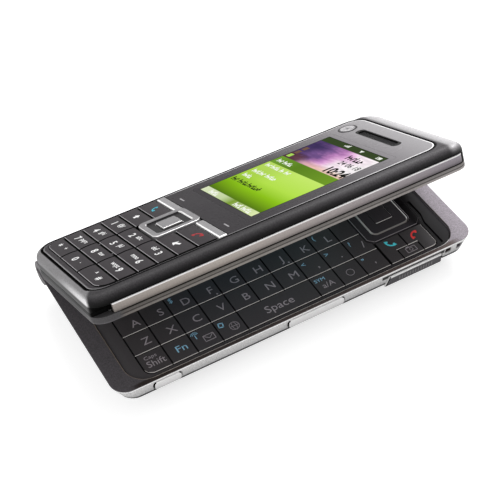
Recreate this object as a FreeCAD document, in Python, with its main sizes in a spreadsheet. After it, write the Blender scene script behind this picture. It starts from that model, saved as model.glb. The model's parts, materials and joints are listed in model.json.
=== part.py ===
import FreeCAD, Part
import math
import os

import Sketcher
from FreeCAD import Placement, Rotation, Vector

# Clamshell communicator phone.
# Frame: origin at the centre of the flat rear face, +X to the earpiece end, +Y to the hinge, +Z up.
# The lid is drawn closed and then turned about the hinge to its rest angle.

doc = FreeCAD.newDocument("Communicator")
sheet = doc.addObject("Spreadsheet::Sheet", "sheet")

DRIVING_SIZES = (
    # whole phone
    ("phone_length", 113.0),
    ("phone_depth", 53.0),
    ("base_height", 10.6),
    ("lid_height", 8.15),
    ("lid_gap", 0.25),
    ("rest_angle", 26.5),
    ("corner_radius", 4.6),
    ("back_corner", 2.0),
    ("lid_corner", 4.4),
    ("base_left_gap", 0.4),
    ("lid_right_gap", 0.5),
    ("fit_gap", 0.1),
    ("moving_gap", 0.2),
    # hinge
    ("hinge_radius", 3.6),
    ("hinge_drop", 0.45),
    ("hinge_bulge", 0.6),
    ("hinge_clearance", 0.3),
    ("knuckle_length", 11.5),
    ("knuckle_inset", 0.8),
    ("pin_radius", 1.2),
    ("pin_reach", 6.0),
    ("pin_play", 0.03),
    # base frame
    ("band_height", 4.4),
    ("end_undercut", 2.4),
    ("side_undercut", 0.2),
    ("rim_left", 5.9),
    ("rim_right", 5.0),
    ("rim_front", 1.3),
    ("rim_back", 1.8),
    ("ledge_width", 1.0),
    ("panel_corner", 6.0),
    ("panel_recess", 0.65),
    ("panel_thickness", 1.0),
    # keyboard
    ("keys_left", 10.4),
    ("keys_right", 10.8),
    ("keys_front", 2.7),
    ("keys_back", 5.0),
    ("key_gap", 0.2),
    ("key_stand", 0.1),
    ("key_thickness", 1.5),
    ("key_travel", 0.35),
    ("key_corner", 0.35),
    ("field_corner", 2.6),
    # navigation cluster of the base
    ("cluster_gap", 0.4),
    ("surround_shift", 0.3),
    ("cluster_width", 15.5),
    ("call_depth", 5.2),
    ("camera_key_width", 6.8),
    ("call_leg_width", 4.1),
    ("end_key_corner", 1.6),
    ("surround_width", 17.9),
    ("surround_depth", 18.0),
    ("surround_front", 11.9),
    ("surround_raise", 0.4),
    ("surround_chamfer", 1.8),
    ("base_ring_width", 12.7),
    ("base_ring_depth", 13.6),
    ("base_select_width", 5.6),
    ("base_select_depth", 6.0),
    ("gutter_gap", 0.7),
    ("gutter_width", 0.9),
    ("gutter_depth", 0.45),
    ("gutter_bend", 3.0),
    ("ring_raise", 0.25),
    ("ring_corner", 2.0),
    # side controls and openings of the base
    ("side_key_height", 2.7),
    ("side_key_level", 8.2),
    ("side_key_depth", 1.0),
    ("side_key_travel", 0.25),
    ("side_key_gap", 0.12),
    ("side_key_corner", 1.08),
    ("side_key_proud", 0.2),
    ("shutter_left", 10.9),
    ("shutter_length", 8.0),
    ("volume_left", 5.3),
    ("volume_length", 17.8),
    ("flap_right", 11.2),
    ("flap_length", 19.4),
    ("flap_height", 3.5),
    ("flap_thickness", 1.2),
    ("flap_bottom", 5.2),
    ("flap_edge_radius", 0.58),
    ("flap_slant", 1.6),
    ("flap_proud", 0.1),
    ("card_width", 11.6),
    ("card_height", 0.9),
    ("strap_left", 10.1),
    ("strap_hole", 2.1),
    ("strap_hole_height", 1.8),
    ("strap_bar", 1.8),
    ("strap_bar_depth", 1.25),
    ("strap_level", 7.7),
    ("strap_depth", 1.95),
    ("socket_width", 7.4),
    ("socket_height", 2.2),
    ("socket_wall", 0.35),
    ("socket_depth", 3.6),
    # rear housing
    ("seam", 0.25),
    ("rear_end_taper", 5.4),
    ("rear_side_taper", 5.1),
    ("rear_corner", 6.0),
    ("rear_edge_rise", 0.8),
    ("rear_edge_run", 1.2),
    ("battery_left", 8.5),
    ("battery_length", 44.0),
    ("battery_width", 30.0),
    ("battery_thickness", 4.3),
    ("door_thickness", 1.2),
    ("door_lip", 0.8),
    ("door_end_lip", 1.5),
    ("board_thickness", 0.95),
    ("camera_inset", 18.5),
    ("camera_y", 9.0),
    ("camera_radius", 5.6),
    ("camera_glass_radius", 3.4),
    ("camera_depth", 3.0),
    ("camera_sink", 0.15),
    ("glass_sink", 0.5),
    ("sound_y", -9.0),
    ("sound_slot_length", 9.0),
    ("sound_slot_width", 1.0),
    ("sound_slot_corner", 0.45),
    ("sound_slot_pitch", 2.1),
    ("screw_inset", 12.5),
    ("screw_edge", 8.5),
    ("screw_radius", 1.2),
    ("screw_length", 4.0),
    ("screw_sink", 0.4),
    # lid
    ("cover_thickness", 2.85),
    ("lid_back_gap", 1.6),
    ("lid_back_corner", 5.0),
    ("shell_roll", 2.5),
    ("end_slope_run", 6.0),
    ("end_slope_drop", 1.2),
    ("face_left", 2.15),
    ("face_right", 7.1),
    ("face_front", 2.95),
    ("face_back", 2.0),
    ("face_corner", 4.4),
    ("face_thickness", 1.0),
    ("face_groove", 0.3),
    ("face_ledge", 0.6),
    ("strip_left", 5.3),
    ("strip_right", 2.6),
    ("pocket_depth", 3.1),
    ("strip_depth", 1.3),
    ("strip_bottom", 2.15),
    ("strip_top", 4.75),
    ("strip_sink", 0.1),
    # outer display, earpiece and front camera
    ("display_left", 9.2),
    ("display_right", 7.5),
    ("display_width", 32.0),
    ("window_border", 1.8),
    ("window_thickness", 0.5),
    ("window_corner", 1.0),
    ("earpiece_inset", 13.2),
    ("earpiece_width", 2.3),
    ("earpiece_corner", 1.0),
    ("earpiece_length", 19.0),
    ("earpiece_sink", 0.5),
    ("front_camera_shift", 0.8),
    ("front_camera_inset", 4.9),
    ("front_camera_radius", 2.9),
    # keypad of the lid
    ("dial_left", 3.8),
    ("dial_pitch", 5.53),
    ("call_pitch", 5.88),
    ("softkey_depth", 2.7),
    ("dial_margin", 0.5),
    ("dial_shift", 1.0),
    ("dial_middle", 13.5),
    ("lid_key_stand", 0.2),
    ("lid_key_bottom", 1.6),
    ("lid_key_corner", 0.3),
    ("separator_radius", 7.0),
    ("lid_ring_length", 14.0),
    ("lid_ring_width", 13.0),
    ("lid_ring_wall", 1.7),
    ("lid_ring_raise", 0.45),
    ("lid_select_size", 5.6),
    ("lid_board_thickness", 1.0),
    # inner display
    ("inner_display_length", 56.6),
    ("inner_display_width", 34.0),
    ("inner_border", 2.2),
    ("inner_window_thickness", 0.8),
    ("bumper_radius", 1.2),
    ("bumper_height", 0.2),
    ("bumper_inset", 2.9),
    ("bumper_front", 7.0),
    ("bumper_back", 7.0),
    ("lid_screw_radius", 1.0),
    ("lid_screw_length", 1.6),
    ("lid_screw_sink", 0.3),
    ("lid_screw_inset", 5.6),
    ("lid_screw_edge", 3.6),
)


class Size:
    """A length of the sheet, or one worked out from such lengths, with its expression."""

    def __init__(self, number, text):
        self.number = float(number)
        self.text = text

    def _joined(self, sign, other, number):
        return Size(number, "(%s %s %s)" % (self.text, sign, text_of(other)))

    def __add__(self, other):
        return self._joined("+", other, self.number + number_of(other))

    def __sub__(self, other):
        return self._joined("-", other, self.number - number_of(other))

    def __mul__(self, other):
        return self._joined("*", other, self.number * number_of(other))

    def __truediv__(self, other):
        return self._joined("/", other, self.number / number_of(other))

    def __rsub__(self, other):
        return Size(number_of(other) - self.number, "(%s - %s)" % (text_of(other), self.text))

    def __neg__(self):
        return Size(-self.number, "(0 - %s)" % self.text)


class Sizes:
    """The named lengths of the sheet, one attribute each."""


def number_of(size):
    return size.number if isinstance(size, Size) else float(size)


def text_of(size):
    return size.text if isinstance(size, Size) else "%.6f" % size


s = Sizes()
for row, (alias, number) in enumerate(DRIVING_SIZES, start=1):
    sheet.set("A%d" % row, alias.replace("_", " "))
    sheet.set("B%d" % row, str(number))
    sheet.setAlias("B%d" % row, alias)
    setattr(s, alias, Size(number, "sheet." + alias))
doc.recompute()


# ---------------------------------------------------------------- drawing helpers

nodes = []


def bind(item, name, size):
    """Tie a property of an object to the sheet."""
    item.setExpression(name, text_of(size))


def origin_of(body, role):
    return [f for f in body.Origin.OriginFeatures if f.Role == role][0]


def new_body(label):
    body = doc.addObject("PartDesign::Body", label)
    body.Label = label
    return body


def new_node(label):
    body = new_body(label)
    nodes.append(body)
    return body


def new_sketch(body, offset, plane="XY_Plane"):
    """A sketch on an origin plane of the body, moved along the plane's normal."""
    item = body.newObject("Sketcher::SketchObject", body.Name + "_sketch")
    item.AttachmentSupport = (origin_of(body, plane), [""])
    item.MapMode = "FlatFace"
    bind(item, "AttachmentOffset.Base.z", offset)
    return item


def dimension(item, kind, geometry, point, size):
    """A distance from the sketch origin to a point, tied to the sheet."""
    rule = Sketcher.Constraint(kind, -1, 1, geometry, point, number_of(size))
    index = item.addConstraint(rule)
    bind(item, "Constraints[%d]" % index, size)


def set_radius(item, geometry, size):
    index = item.addConstraint(Sketcher.Constraint("Radius", geometry, number_of(size)))
    bind(item, "Constraints[%d]" % index, size)


def draw_rounded(item, left, right, front, back, radius):
    """A rectangle with four tangent corner arcs; radius is one size or four, from front left on."""
    radii = radius if isinstance(radius, tuple) else (radius,) * 4
    x0, x1, y0, y1 = [number_of(size) for size in (left, right, front, back)]
    r0, r1, r2, r3 = [number_of(size) for size in radii]
    up = Vector(0, 0, 1)

    def corner(x, y, r, start):
        circle = Part.Circle(Vector(x, y, 0), up, r)
        return Part.ArcOfCircle(circle, math.radians(start), math.radians(start + 90))

    first = item.GeometryCount
    item.addGeometry([
        Part.LineSegment(Vector(x0 + r0, y0, 0), Vector(x1 - r1, y0, 0)),
        corner(x1 - r1, y0 + r1, r1, 270),
        Part.LineSegment(Vector(x1, y0 + r1, 0), Vector(x1, y1 - r2, 0)),
        corner(x1 - r2, y1 - r2, r2, 0),
        Part.LineSegment(Vector(x1 - r2, y1, 0), Vector(x0 + r3, y1, 0)),
        corner(x0 + r3, y1 - r3, r3, 90),
        Part.LineSegment(Vector(x0, y1 - r3, 0), Vector(x0, y0 + r0, 0)),
        corner(x0 + r0, y0 + r0, r0, 180),
    ], False)
    rules = []
    for side in range(8):
        rules.append(Sketcher.Constraint("Tangent", first + side, 2, first + (side + 1) % 8, 1))
    for side in (0, 4):
        rules.append(Sketcher.Constraint("Horizontal", first + side))
    for side in (2, 6):
        rules.append(Sketcher.Constraint("Vertical", first + side))
    item.addConstraint(rules)
    dimension(item, "DistanceX", first + 6, 1, left)
    dimension(item, "DistanceX", first + 2, 1, right)
    dimension(item, "DistanceY", first, 1, front)
    dimension(item, "DistanceY", first + 4, 1, back)
    for arc, size in zip((7, 1, 3, 5), radii):
        set_radius(item, first + arc, size)


def draw_outline(item, corners, bows=None):
    """A closed outline through corners, counterclockwise; bows gives the arc radius of a side.

    A positive radius bulges outwards, a negative one inwards."""
    bows = bows or {}
    first = item.GeometryCount
    count = len(corners)
    points = [Vector(number_of(x), number_of(y), 0) for x, y in corners]
    ends = []
    for side in range(count):
        start = points[side]
        end = points[(side + 1) % count]
        if side in bows:
            radius = bows[side].number
            chord = end - start
            outward = Vector(chord.y, -chord.x, 0).normalize()
            rise = abs(radius) - math.sqrt(radius ** 2 - (chord.Length / 2) ** 2)
            middle = (start + end) / 2 + outward * math.copysign(rise, radius)
            arc = Part.Arc(start, middle, end)
            item.addGeometry(arc, False)
            ends.append((1, 2) if radius > 0 else (2, 1))
        else:
            item.addGeometry(Part.LineSegment(start, end), False)
            ends.append((1, 2))
    for side in range(count):
        following = (side + 1) % count
        item.addConstraint(Sketcher.Constraint(
            "Coincident", first + side, ends[side][1], first + following, ends[following][0]))
    for side, (x, y) in enumerate(corners):
        dimension(item, "DistanceX", first + side, ends[side][0], x)
        dimension(item, "DistanceY", first + side, ends[side][0], y)
    for side, radius in bows.items():
        set_radius(item, first + side, radius if radius.number > 0 else -radius)


def draw_box(item, left, right, front, back):
    draw_outline(item, [(left, front), (right, front), (right, back), (left, back)])


def draw_circle(item, x, y, radius):
    first = item.GeometryCount
    circle = Part.Circle(Vector(number_of(x), number_of(y), 0), Vector(0, 0, 1), number_of(radius))
    item.addGeometry(circle, False)
    dimension(item, "DistanceX", first, 3, x)
    dimension(item, "DistanceY", first, 3, y)
    set_radius(item, first, radius)


def finish_feature(body, feature):
    body.Tip = feature
    doc.recompute()
    if "Invalid" in feature.State or "Error" in feature.State:
        raise RuntimeError("%s failed in %s" % (feature.Name, body.Label))
    return feature


def pad(body, item, length, backwards=False):
    feature = body.newObject("PartDesign::Pad", body.Name + "_pad")
    feature.Profile = item
    bind(feature, "Length", length)
    feature.Reversed = backwards
    return finish_feature(body, feature)


def pocket(body, item, depth, backwards=False):
    """Cut a pocket; it runs against the sketch's normal unless backwards is set."""
    before = body.Shape.Volume
    feature = body.newObject("PartDesign::Pocket", body.Name + "_pocket")
    feature.Profile = item
    bind(feature, "Length", depth)
    feature.Reversed = backwards
    finish_feature(body, feature)
    if body.Shape.Volume > before - 1e-6:
        raise RuntimeError("a pocket cuts nothing in " + body.Label)
    return feature


def loft(body, sections):
    """A straight-sided form through outlines drawn at several levels."""
    feature = body.newObject("PartDesign::AdditiveLoft", body.Name + "_loft")
    feature.Profile = sections[0]
    feature.Sections = sections[1:]
    feature.Ruled = True
    return finish_feature(body, feature)


def edges_where(shape, test):
    names = []
    for index, edge in enumerate(shape.Edges, start=1):
        if test(edge):
            names.append("Edge%d" % index)
    return names


def fillet(body, test, radius):
    names = edges_where(body.Shape, test)
    if not names:
        raise RuntimeError("no edge to round in " + body.Label)
    base = body.Tip
    feature = body.newObject("PartDesign::Fillet", body.Name + "_fillet")
    feature.Base = (base, names)
    bind(feature, "Radius", radius)
    return finish_feature(body, feature)


def new_box(label, left, right, front, back, bottom, top):
    item = doc.addObject("Part::Box", label)
    item.Label = label
    bind(item, "Length", right - left)
    bind(item, "Width", back - front)
    bind(item, "Height", top - bottom)
    bind(item, "Placement.Base.x", left)
    bind(item, "Placement.Base.y", front)
    bind(item, "Placement.Base.z", bottom)
    return item


def box_node(label, left, right, front, back, bottom, top):
    item = new_box(label, left, right, front, back, bottom, top)
    nodes.append(item)
    return item


def new_cylinder(label, radius, length, x, y, z, direction=None):
    """A cylinder from its base centre along +Z, or along +X when asked."""
    item = doc.addObject("Part::Cylinder", label)
    item.Label = label
    bind(item, "Radius", radius)
    bind(item, "Height", length)
    if direction == "X":
        item.Placement = Placement(Vector(), Rotation(Vector(0, 1, 0), 90))
    bind(item, "Placement.Base.x", x)
    bind(item, "Placement.Base.y", y)
    bind(item, "Placement.Base.z", z)
    return item


def group_node(label, members):
    """Several like pieces kept as one sub-part."""
    item = doc.addObject("Part::Compound", label)
    item.Label = label
    item.Links = members
    nodes.append(item)
    return item


def is_upright_at(edge, x, y):
    box = edge.BoundBox
    upright = box.XLength < 1e-4 and box.YLength < 1e-4
    return upright and abs(box.XMin - x.number) < 1e-3 and abs(box.YMin - y.number) < 1e-3


def at_level(edge, level):
    box = edge.BoundBox
    return abs(box.ZMin - level) < 1e-4 and abs(box.ZMax - level) < 1e-4


# ---------------------------------------------------------------- main places

none = Size(0, "0")
KEY_COLUMNS = 10
KEY_ROWS = 5
half_length = s.phone_length / 2
half_depth = s.phone_depth / 2
mating = s.base_height
band_bottom = mating - s.band_height
hinge_y = half_depth - s.hinge_radius
hinge_z = mating - s.hinge_drop
knuckle_outer = half_length - s.knuckle_inset
knuckle_inner = knuckle_outer - s.knuckle_length
barrel_end = knuckle_inner - s.hinge_clearance
sweep_radius = s.hinge_radius + s.hinge_clearance

panel_left = s.rim_left - half_length
panel_right = half_length - s.rim_right
panel_front = s.rim_front - half_depth
panel_back = hinge_y - sweep_radius - s.rim_back
panel_top = mating - s.panel_recess
panel_bottom = panel_top - s.panel_thickness
key_top = panel_top + s.key_stand
key_bottom = key_top - s.key_thickness
mat_top = key_bottom - s.key_travel
board_top = band_bottom + s.board_thickness

keys_left = s.keys_left - half_length
keys_front = s.keys_front - half_depth
keys_back = panel_back - s.keys_back
cluster_right = half_length - s.keys_right
cluster_left = cluster_right - s.cluster_width
keys_right = cluster_left - s.cluster_gap
key_pitch = (keys_right - keys_left) / KEY_COLUMNS
row_pitch = (keys_back - keys_front) / KEY_ROWS
half_gap = s.key_gap / 2
surround_centre = (cluster_left + cluster_right) / 2 - s.surround_shift
surround_front = s.surround_front - half_depth
cluster_back = surround_front - s.moving_gap
cluster_front = keys_front + half_gap
surround_left = surround_centre - s.surround_width / 2
surround_right = surround_centre + s.surround_width / 2
surround_back = surround_front + s.surround_depth
pad_centre_y = surround_front + s.surround_depth / 2

lid_bottom = mating + s.lid_gap
cover_top = lid_bottom + s.cover_thickness
lid_top = mating + s.lid_height
lid_back = hinge_y - s.lid_back_gap
lid_right = half_length - s.lid_right_gap
face_left = s.face_left - half_length
face_right = half_length - s.face_right
face_front = s.face_front - half_depth
face_back = lid_back - s.face_back
face_bottom = lid_top - s.face_thickness
face_centre_y = (face_front + face_back) / 2

dial_left = s.dial_left - half_length
dial_right = dial_left + s.dial_pitch * 4
keypad_right = dial_right + s.call_pitch * 2 + s.softkey_depth
keypad_front = face_front + s.dial_margin
keypad_back = face_back - s.dial_margin
dial_centre = face_centre_y + s.dial_shift
column_lines = (keypad_front, dial_centre - s.dial_middle / 2, dial_centre + s.dial_middle / 2,
                keypad_back)
keypad_corner = s.face_corner - s.dial_margin
lid_key_top = lid_top + s.lid_key_stand
lid_key_bottom = lid_top - s.lid_key_bottom
lid_ring_centre = dial_right + s.call_pitch + s.softkey_depth / 2


# ---------------------------------------------------------------- base

def draw_frame_outline(item, end_inset, side_inset, radius, back_radius):
    draw_rounded(item, s.base_left_gap + end_inset - half_length, half_length - end_inset,
                 side_inset - half_depth, half_depth - s.hinge_bulge - side_inset,
                 (radius, radius, back_radius, back_radius))


def draw_hinge_circle(body, start, radius):
    item = new_sketch(body, start, "YZ_Plane")
    draw_circle(item, hinge_y, hinge_z, radius)
    return item


def make_base_frame():
    """The mid frame: a band with undercut ends, the panel's seat and the hinge knuckles."""
    body = new_node("base_frame")
    lower = new_sketch(body, band_bottom)
    draw_frame_outline(lower, s.end_undercut, s.side_undercut, s.corner_radius - s.side_undercut,
                       s.back_corner)
    upper = new_sketch(body, mating)
    draw_frame_outline(upper, none, none, s.corner_radius, s.back_corner)
    loft(body, [lower, upper])
    for start in (knuckle_inner, -knuckle_outer):
        pad(body, draw_hinge_circle(body, start, s.hinge_radius), s.knuckle_length)

    trough = draw_hinge_circle(body, -knuckle_inner, sweep_radius)
    pocket(body, trough, knuckle_inner * 2, backwards=True)
    behind = new_sketch(body, -knuckle_inner, "YZ_Plane")
    draw_box(behind, hinge_y, half_depth + s.hinge_clearance, band_bottom, mating + s.hinge_clearance)
    pocket(body, behind, knuckle_inner * 2, backwards=True)
    for start in (knuckle_inner - s.hinge_clearance, -knuckle_outer + s.knuckle_inset):
        bore = draw_hinge_circle(body, start, s.pin_radius + s.pin_play)
        pocket(body, bore, s.knuckle_length - s.knuckle_inset + s.hinge_clearance, backwards=True)

    seat = new_sketch(body, mating)
    draw_rounded(seat, panel_left, panel_right, panel_front, panel_back, s.panel_corner)
    pocket(body, seat, mating - panel_bottom)
    cavity = new_sketch(body, panel_bottom)
    draw_rounded(cavity, panel_left + s.ledge_width, panel_right - s.ledge_width,
                 panel_front + s.ledge_width, panel_back - s.ledge_width,
                 s.panel_corner - s.ledge_width)
    pocket(body, cavity, panel_bottom - band_bottom)

    for left, length in ((shutter_left, s.shutter_length), (volume_left, s.volume_length)):
        slot = new_sketch(body, half_depth, "XZ_Plane")
        draw_side_key(slot, left, length, s.side_key_gap)
        pocket(body, slot, s.side_key_depth - s.side_key_proud + s.side_key_travel + s.fit_gap / 2)

    flap = new_sketch(body, half_depth, "XZ_Plane")
    draw_flap(flap, s.moving_gap)
    pocket(body, flap, s.flap_thickness + s.moving_gap - s.flap_proud)
    card = new_sketch(body, half_depth, "XZ_Plane")
    card_middle = (flap_left + flap_right) / 2
    draw_box(card, card_middle - s.card_width / 2, card_middle + s.card_width / 2,
             mat_top - s.fit_gap - s.card_height, mat_top - s.fit_gap)
    pocket(body, card, s.rim_front + s.ledge_width + s.fit_gap)

    strap = new_sketch(body, half_depth, "XZ_Plane")
    for left in (strap_left, strap_left + s.strap_hole + s.strap_bar):
        draw_box(strap, left, left + s.strap_hole, s.strap_level, s.strap_level + s.strap_hole_height)
    pocket(body, strap, s.strap_depth)
    tunnel = new_sketch(body, half_depth - s.strap_bar_depth, "XZ_Plane")
    draw_box(tunnel, strap_left, strap_left + s.strap_hole + s.strap_bar + s.strap_hole / 2,
             s.strap_level, s.strap_level + s.strap_hole_height)
    pocket(body, tunnel, s.strap_depth - s.strap_bar_depth)

    mouth = new_sketch(body, -half_length, "YZ_Plane")
    reach = s.socket_wall + s.fit_gap
    draw_box(mouth, -s.socket_width / 2 - reach, s.socket_width / 2 + reach,
             socket_bottom - s.fit_gap, socket_top + s.fit_gap)
    pocket(body, mouth, s.rim_left, backwards=True)
    return body


def draw_side_key(item, left, length, gap):
    """A long slot shape with round ends."""
    bottom = s.side_key_level - s.side_key_height / 2
    top = s.side_key_level + s.side_key_height / 2
    draw_rounded(item, left - gap, left + length + gap, bottom - gap, top + gap,
                 s.side_key_corner)


def draw_flap(item, gap):
    left, right = flap_left, flap_right
    top = s.flap_bottom + s.flap_height
    draw_outline(item, [(left - gap, s.flap_bottom - gap), (right + gap, s.flap_bottom - gap),
                        (right + gap, top + gap), (left + s.flap_slant - gap, top + gap)])


shutter_left = s.shutter_left - half_length
volume_left = none - s.volume_left
flap_right = half_length - s.flap_right
flap_left = flap_right - s.flap_length
strap_left = half_length - s.strap_left
socket_bottom = board_top - s.fit_gap
socket_top = socket_bottom + s.socket_height + s.socket_wall * 2
base_frame = make_base_frame()


def draw_surround(item, gap):
    """The rim of the navigation pad: a square with its corners cut off."""
    left, right = surround_left - gap, surround_right + gap
    front, back = surround_front - gap, surround_back + gap
    cut = s.surround_chamfer
    draw_outline(item, [(left + cut, front), (right - cut, front), (right, front + cut),
                        (right, back - cut), (right - cut, back), (left + cut, back),
                        (left, back - cut), (left, front + cut)])


def draw_base_ring(item, gap):
    draw_rounded(item, surround_centre - s.base_ring_width / 2 - gap,
                 surround_centre + s.base_ring_width / 2 + gap,
                 pad_centre_y - s.base_ring_depth / 2 - gap,
                 pad_centre_y + s.base_ring_depth / 2 + gap, s.ring_corner)


def draw_base_select(item, gap):
    draw_rounded(item, surround_centre - s.base_select_width / 2 - gap,
                 surround_centre + s.base_select_width / 2 + gap,
                 pad_centre_y - s.base_select_depth / 2 - gap,
                 pad_centre_y + s.base_select_depth / 2 + gap, s.key_corner + gap)


def make_keyboard_panel():
    """The sunk glossy panel with the openings of the key field, the call keys and the pad."""
    body = new_node("keyboard_panel")
    plate = new_sketch(body, panel_bottom)
    draw_rounded(plate, panel_left + s.fit_gap, panel_right - s.fit_gap,
                 panel_front + s.fit_gap, panel_back - s.fit_gap, s.panel_corner - s.fit_gap)
    pad(body, plate, s.panel_thickness)
    field = new_sketch(body, panel_top)
    reach = s.moving_gap - half_gap
    draw_rounded(field, keys_left - reach, keys_right + reach, keys_front - reach, keys_back + reach,
                 (s.field_corner, s.key_corner, s.key_corner, s.key_corner))
    pocket(body, field, s.panel_thickness)
    cluster = new_sketch(body, panel_top)
    draw_rounded(cluster, keys_right, cluster_right + reach, keys_front - reach,
                 surround_front + s.fit_gap,
                 (s.key_corner, s.end_key_corner, s.key_corner, s.key_corner))
    pocket(body, cluster, s.panel_thickness)
    rim = new_sketch(body, panel_bottom)
    draw_surround(rim, -s.fit_gap)
    pad(body, rim, s.panel_thickness + s.surround_raise)
    gutter = new_sketch(body, panel_top)
    inner = surround_right + s.gutter_gap
    outer = inner + s.gutter_width
    low_inner = cluster_right + s.gutter_gap
    low_outer = low_inner + s.gutter_width
    bend = surround_front + s.gutter_bend
    draw_outline(gutter, [(low_inner, cluster_front), (low_outer, cluster_front),
                          (low_outer, surround_front), (outer, bend), (outer, pad_centre_y),
                          (inner, pad_centre_y), (inner, bend), (low_inner, surround_front)])
    pocket(body, gutter, s.gutter_depth)
    well = new_sketch(body, panel_top + s.surround_raise)
    draw_base_ring(well, s.moving_gap)
    pocket(body, well, s.panel_thickness + s.surround_raise)
    return body


keyboard_panel = make_keyboard_panel()


def make_key_row(label, row, columns):
    """The flat keys of one row; the surround of the pad cuts into the last ones."""
    body = new_node(label)
    item = new_sketch(body, key_bottom)
    front = keys_front + row_pitch * row + half_gap
    back = front + row_pitch - s.key_gap
    for first, last in columns:
        left = keys_left + key_pitch * first + half_gap
        right = keys_left + key_pitch * (last + 1) - half_gap
        if row == 0 and first == 0:
            # the corner key follows the rounded corner of the field
            draw_rounded(item, left, right, front, back,
                         (s.field_corner, s.key_corner, s.key_corner, s.key_corner))
        else:
            draw_box(item, left, right, front, back)
    pad(body, item, s.key_thickness)
    if front.number < surround_back.number and back.number > surround_front.number:
        notch = new_sketch(body, key_top)
        draw_surround(notch, s.moving_gap)
        pocket(body, notch, s.key_thickness)
    return body


def single_columns(*numbers):
    return [(number, number) for number in numbers]


key_rows = []
for row in range(KEY_ROWS):
    columns = single_columns(0, 1, 2, 3, 7, 8, 9) if row == 0 else single_columns(*range(KEY_COLUMNS))
    key_rows.append(make_key_row("key_row_%d" % (row + 1), row, columns))
space_key = make_key_row("space_key", 0, [(4, 6)])


def make_cluster_key(label, corners):
    body = new_node(label)
    item = new_sketch(body, key_bottom)
    draw_outline(item, corners)
    pad(body, item, s.key_thickness)
    return body


call_right = (cluster_left + cluster_right) / 2
camera_left = cluster_left + s.call_leg_width
camera_right = camera_left + s.camera_key_width
camera_back = cluster_back - s.call_depth

make_cluster_key("base_call_key", [
    (cluster_left, cluster_front), (camera_left - half_gap, cluster_front),
    (camera_left - half_gap, camera_back + half_gap), (call_right - half_gap, camera_back + half_gap),
    (call_right - half_gap, cluster_back), (cluster_left, cluster_back)])
end_key = make_cluster_key("base_end_key", [
    (camera_right + half_gap, cluster_front), (cluster_right, cluster_front),
    (cluster_right, cluster_back), (call_right + half_gap, cluster_back),
    (call_right + half_gap, camera_back + half_gap), (camera_right + half_gap, camera_back + half_gap)])
fillet(end_key, lambda edge: is_upright_at(edge, cluster_right, cluster_front), s.end_key_corner)
make_cluster_key("base_camera_key", [
    (camera_left + half_gap, cluster_front), (camera_right - half_gap, cluster_front),
    (camera_right - half_gap, camera_back - half_gap), (camera_left + half_gap, camera_back - half_gap)])


def make_base_ring():
    body = new_node("base_nav_ring")
    item = new_sketch(body, key_bottom)
    draw_base_ring(item, none)
    pad(body, item, s.key_thickness + s.ring_raise)
    hole = new_sketch(body, key_top + s.ring_raise)
    draw_base_select(hole, s.moving_gap)
    pocket(body, hole, s.key_thickness + s.ring_raise)
    return body


def make_base_select():
    body = new_node("base_select_key")
    item = new_sketch(body, key_bottom)
    draw_base_select(item, none)
    pad(body, item, s.key_thickness + s.ring_raise)
    return body


make_base_ring()
make_base_select()


def make_side_key(label, left, length):
    body = new_node(label)
    item = new_sketch(body, half_depth + s.side_key_proud, "XZ_Plane")
    draw_side_key(item, left, length, none)
    pad(body, item, s.side_key_depth, backwards=True)
    return body


make_side_key("shutter_key", shutter_left, s.shutter_length)
make_side_key("volume_key", volume_left, s.volume_length)


def make_card_flap():
    """The cover of the card slot; its lower edge is round about its own hinge line."""
    body = new_node("card_flap")
    left = flap_left
    outside = -half_depth - s.flap_proud
    top = s.flap_bottom + s.flap_height
    section = new_sketch(body, left, "YZ_Plane")
    draw_rounded(section, outside, outside + s.flap_thickness, s.flap_bottom, top,
                 (s.flap_edge_radius, s.flap_edge_radius, s.fit_gap, s.fit_gap))
    pad(body, section, s.flap_length)
    slant = new_sketch(body, half_depth + s.flap_thickness, "XZ_Plane")
    draw_outline(slant, [(left - s.flap_slant, s.flap_bottom), (left, s.flap_bottom),
                         (left + s.flap_slant, top), (left + s.flap_slant, top + s.flap_slant),
                         (left - s.flap_slant, top + s.flap_slant)])
    pocket(body, slant, s.flap_thickness * 2)
    return body


card_flap = make_card_flap()


# rear housing and what it holds

def add_rear_form(body):
    """The tapered tub below the seam, with a flatter slope where it meets the rear face."""
    part_way = s.rear_edge_rise / band_bottom
    sections = []
    for level, slope, run, radius, back_radius in (
            (none, 1, s.rear_edge_run, s.rear_corner, s.rear_corner),
            (s.rear_edge_rise, 1 - part_way, none, s.rear_corner, s.rear_corner),
            (band_bottom, none, none, s.corner_radius - s.seam, s.back_corner)):
        item = new_sketch(body, level)
        draw_frame_outline(item, s.end_undercut + s.seam + s.rear_end_taper * slope + run,
                           s.side_undercut + s.seam + s.rear_side_taper * slope + run,
                           radius, back_radius)
        sections.append(item)
    loft(body, sections)


battery_x = s.battery_left - half_length
battery_end = battery_x + s.battery_length
door_end = battery_end + s.door_end_lip
door_half = s.battery_width / 2 + s.door_lip
camera_x = half_length - s.camera_inset
screw_x = half_length - s.screw_inset
screw_y = half_depth - s.screw_edge
bay_top = s.door_thickness + s.fit_gap + s.battery_thickness + s.fit_gap


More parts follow.
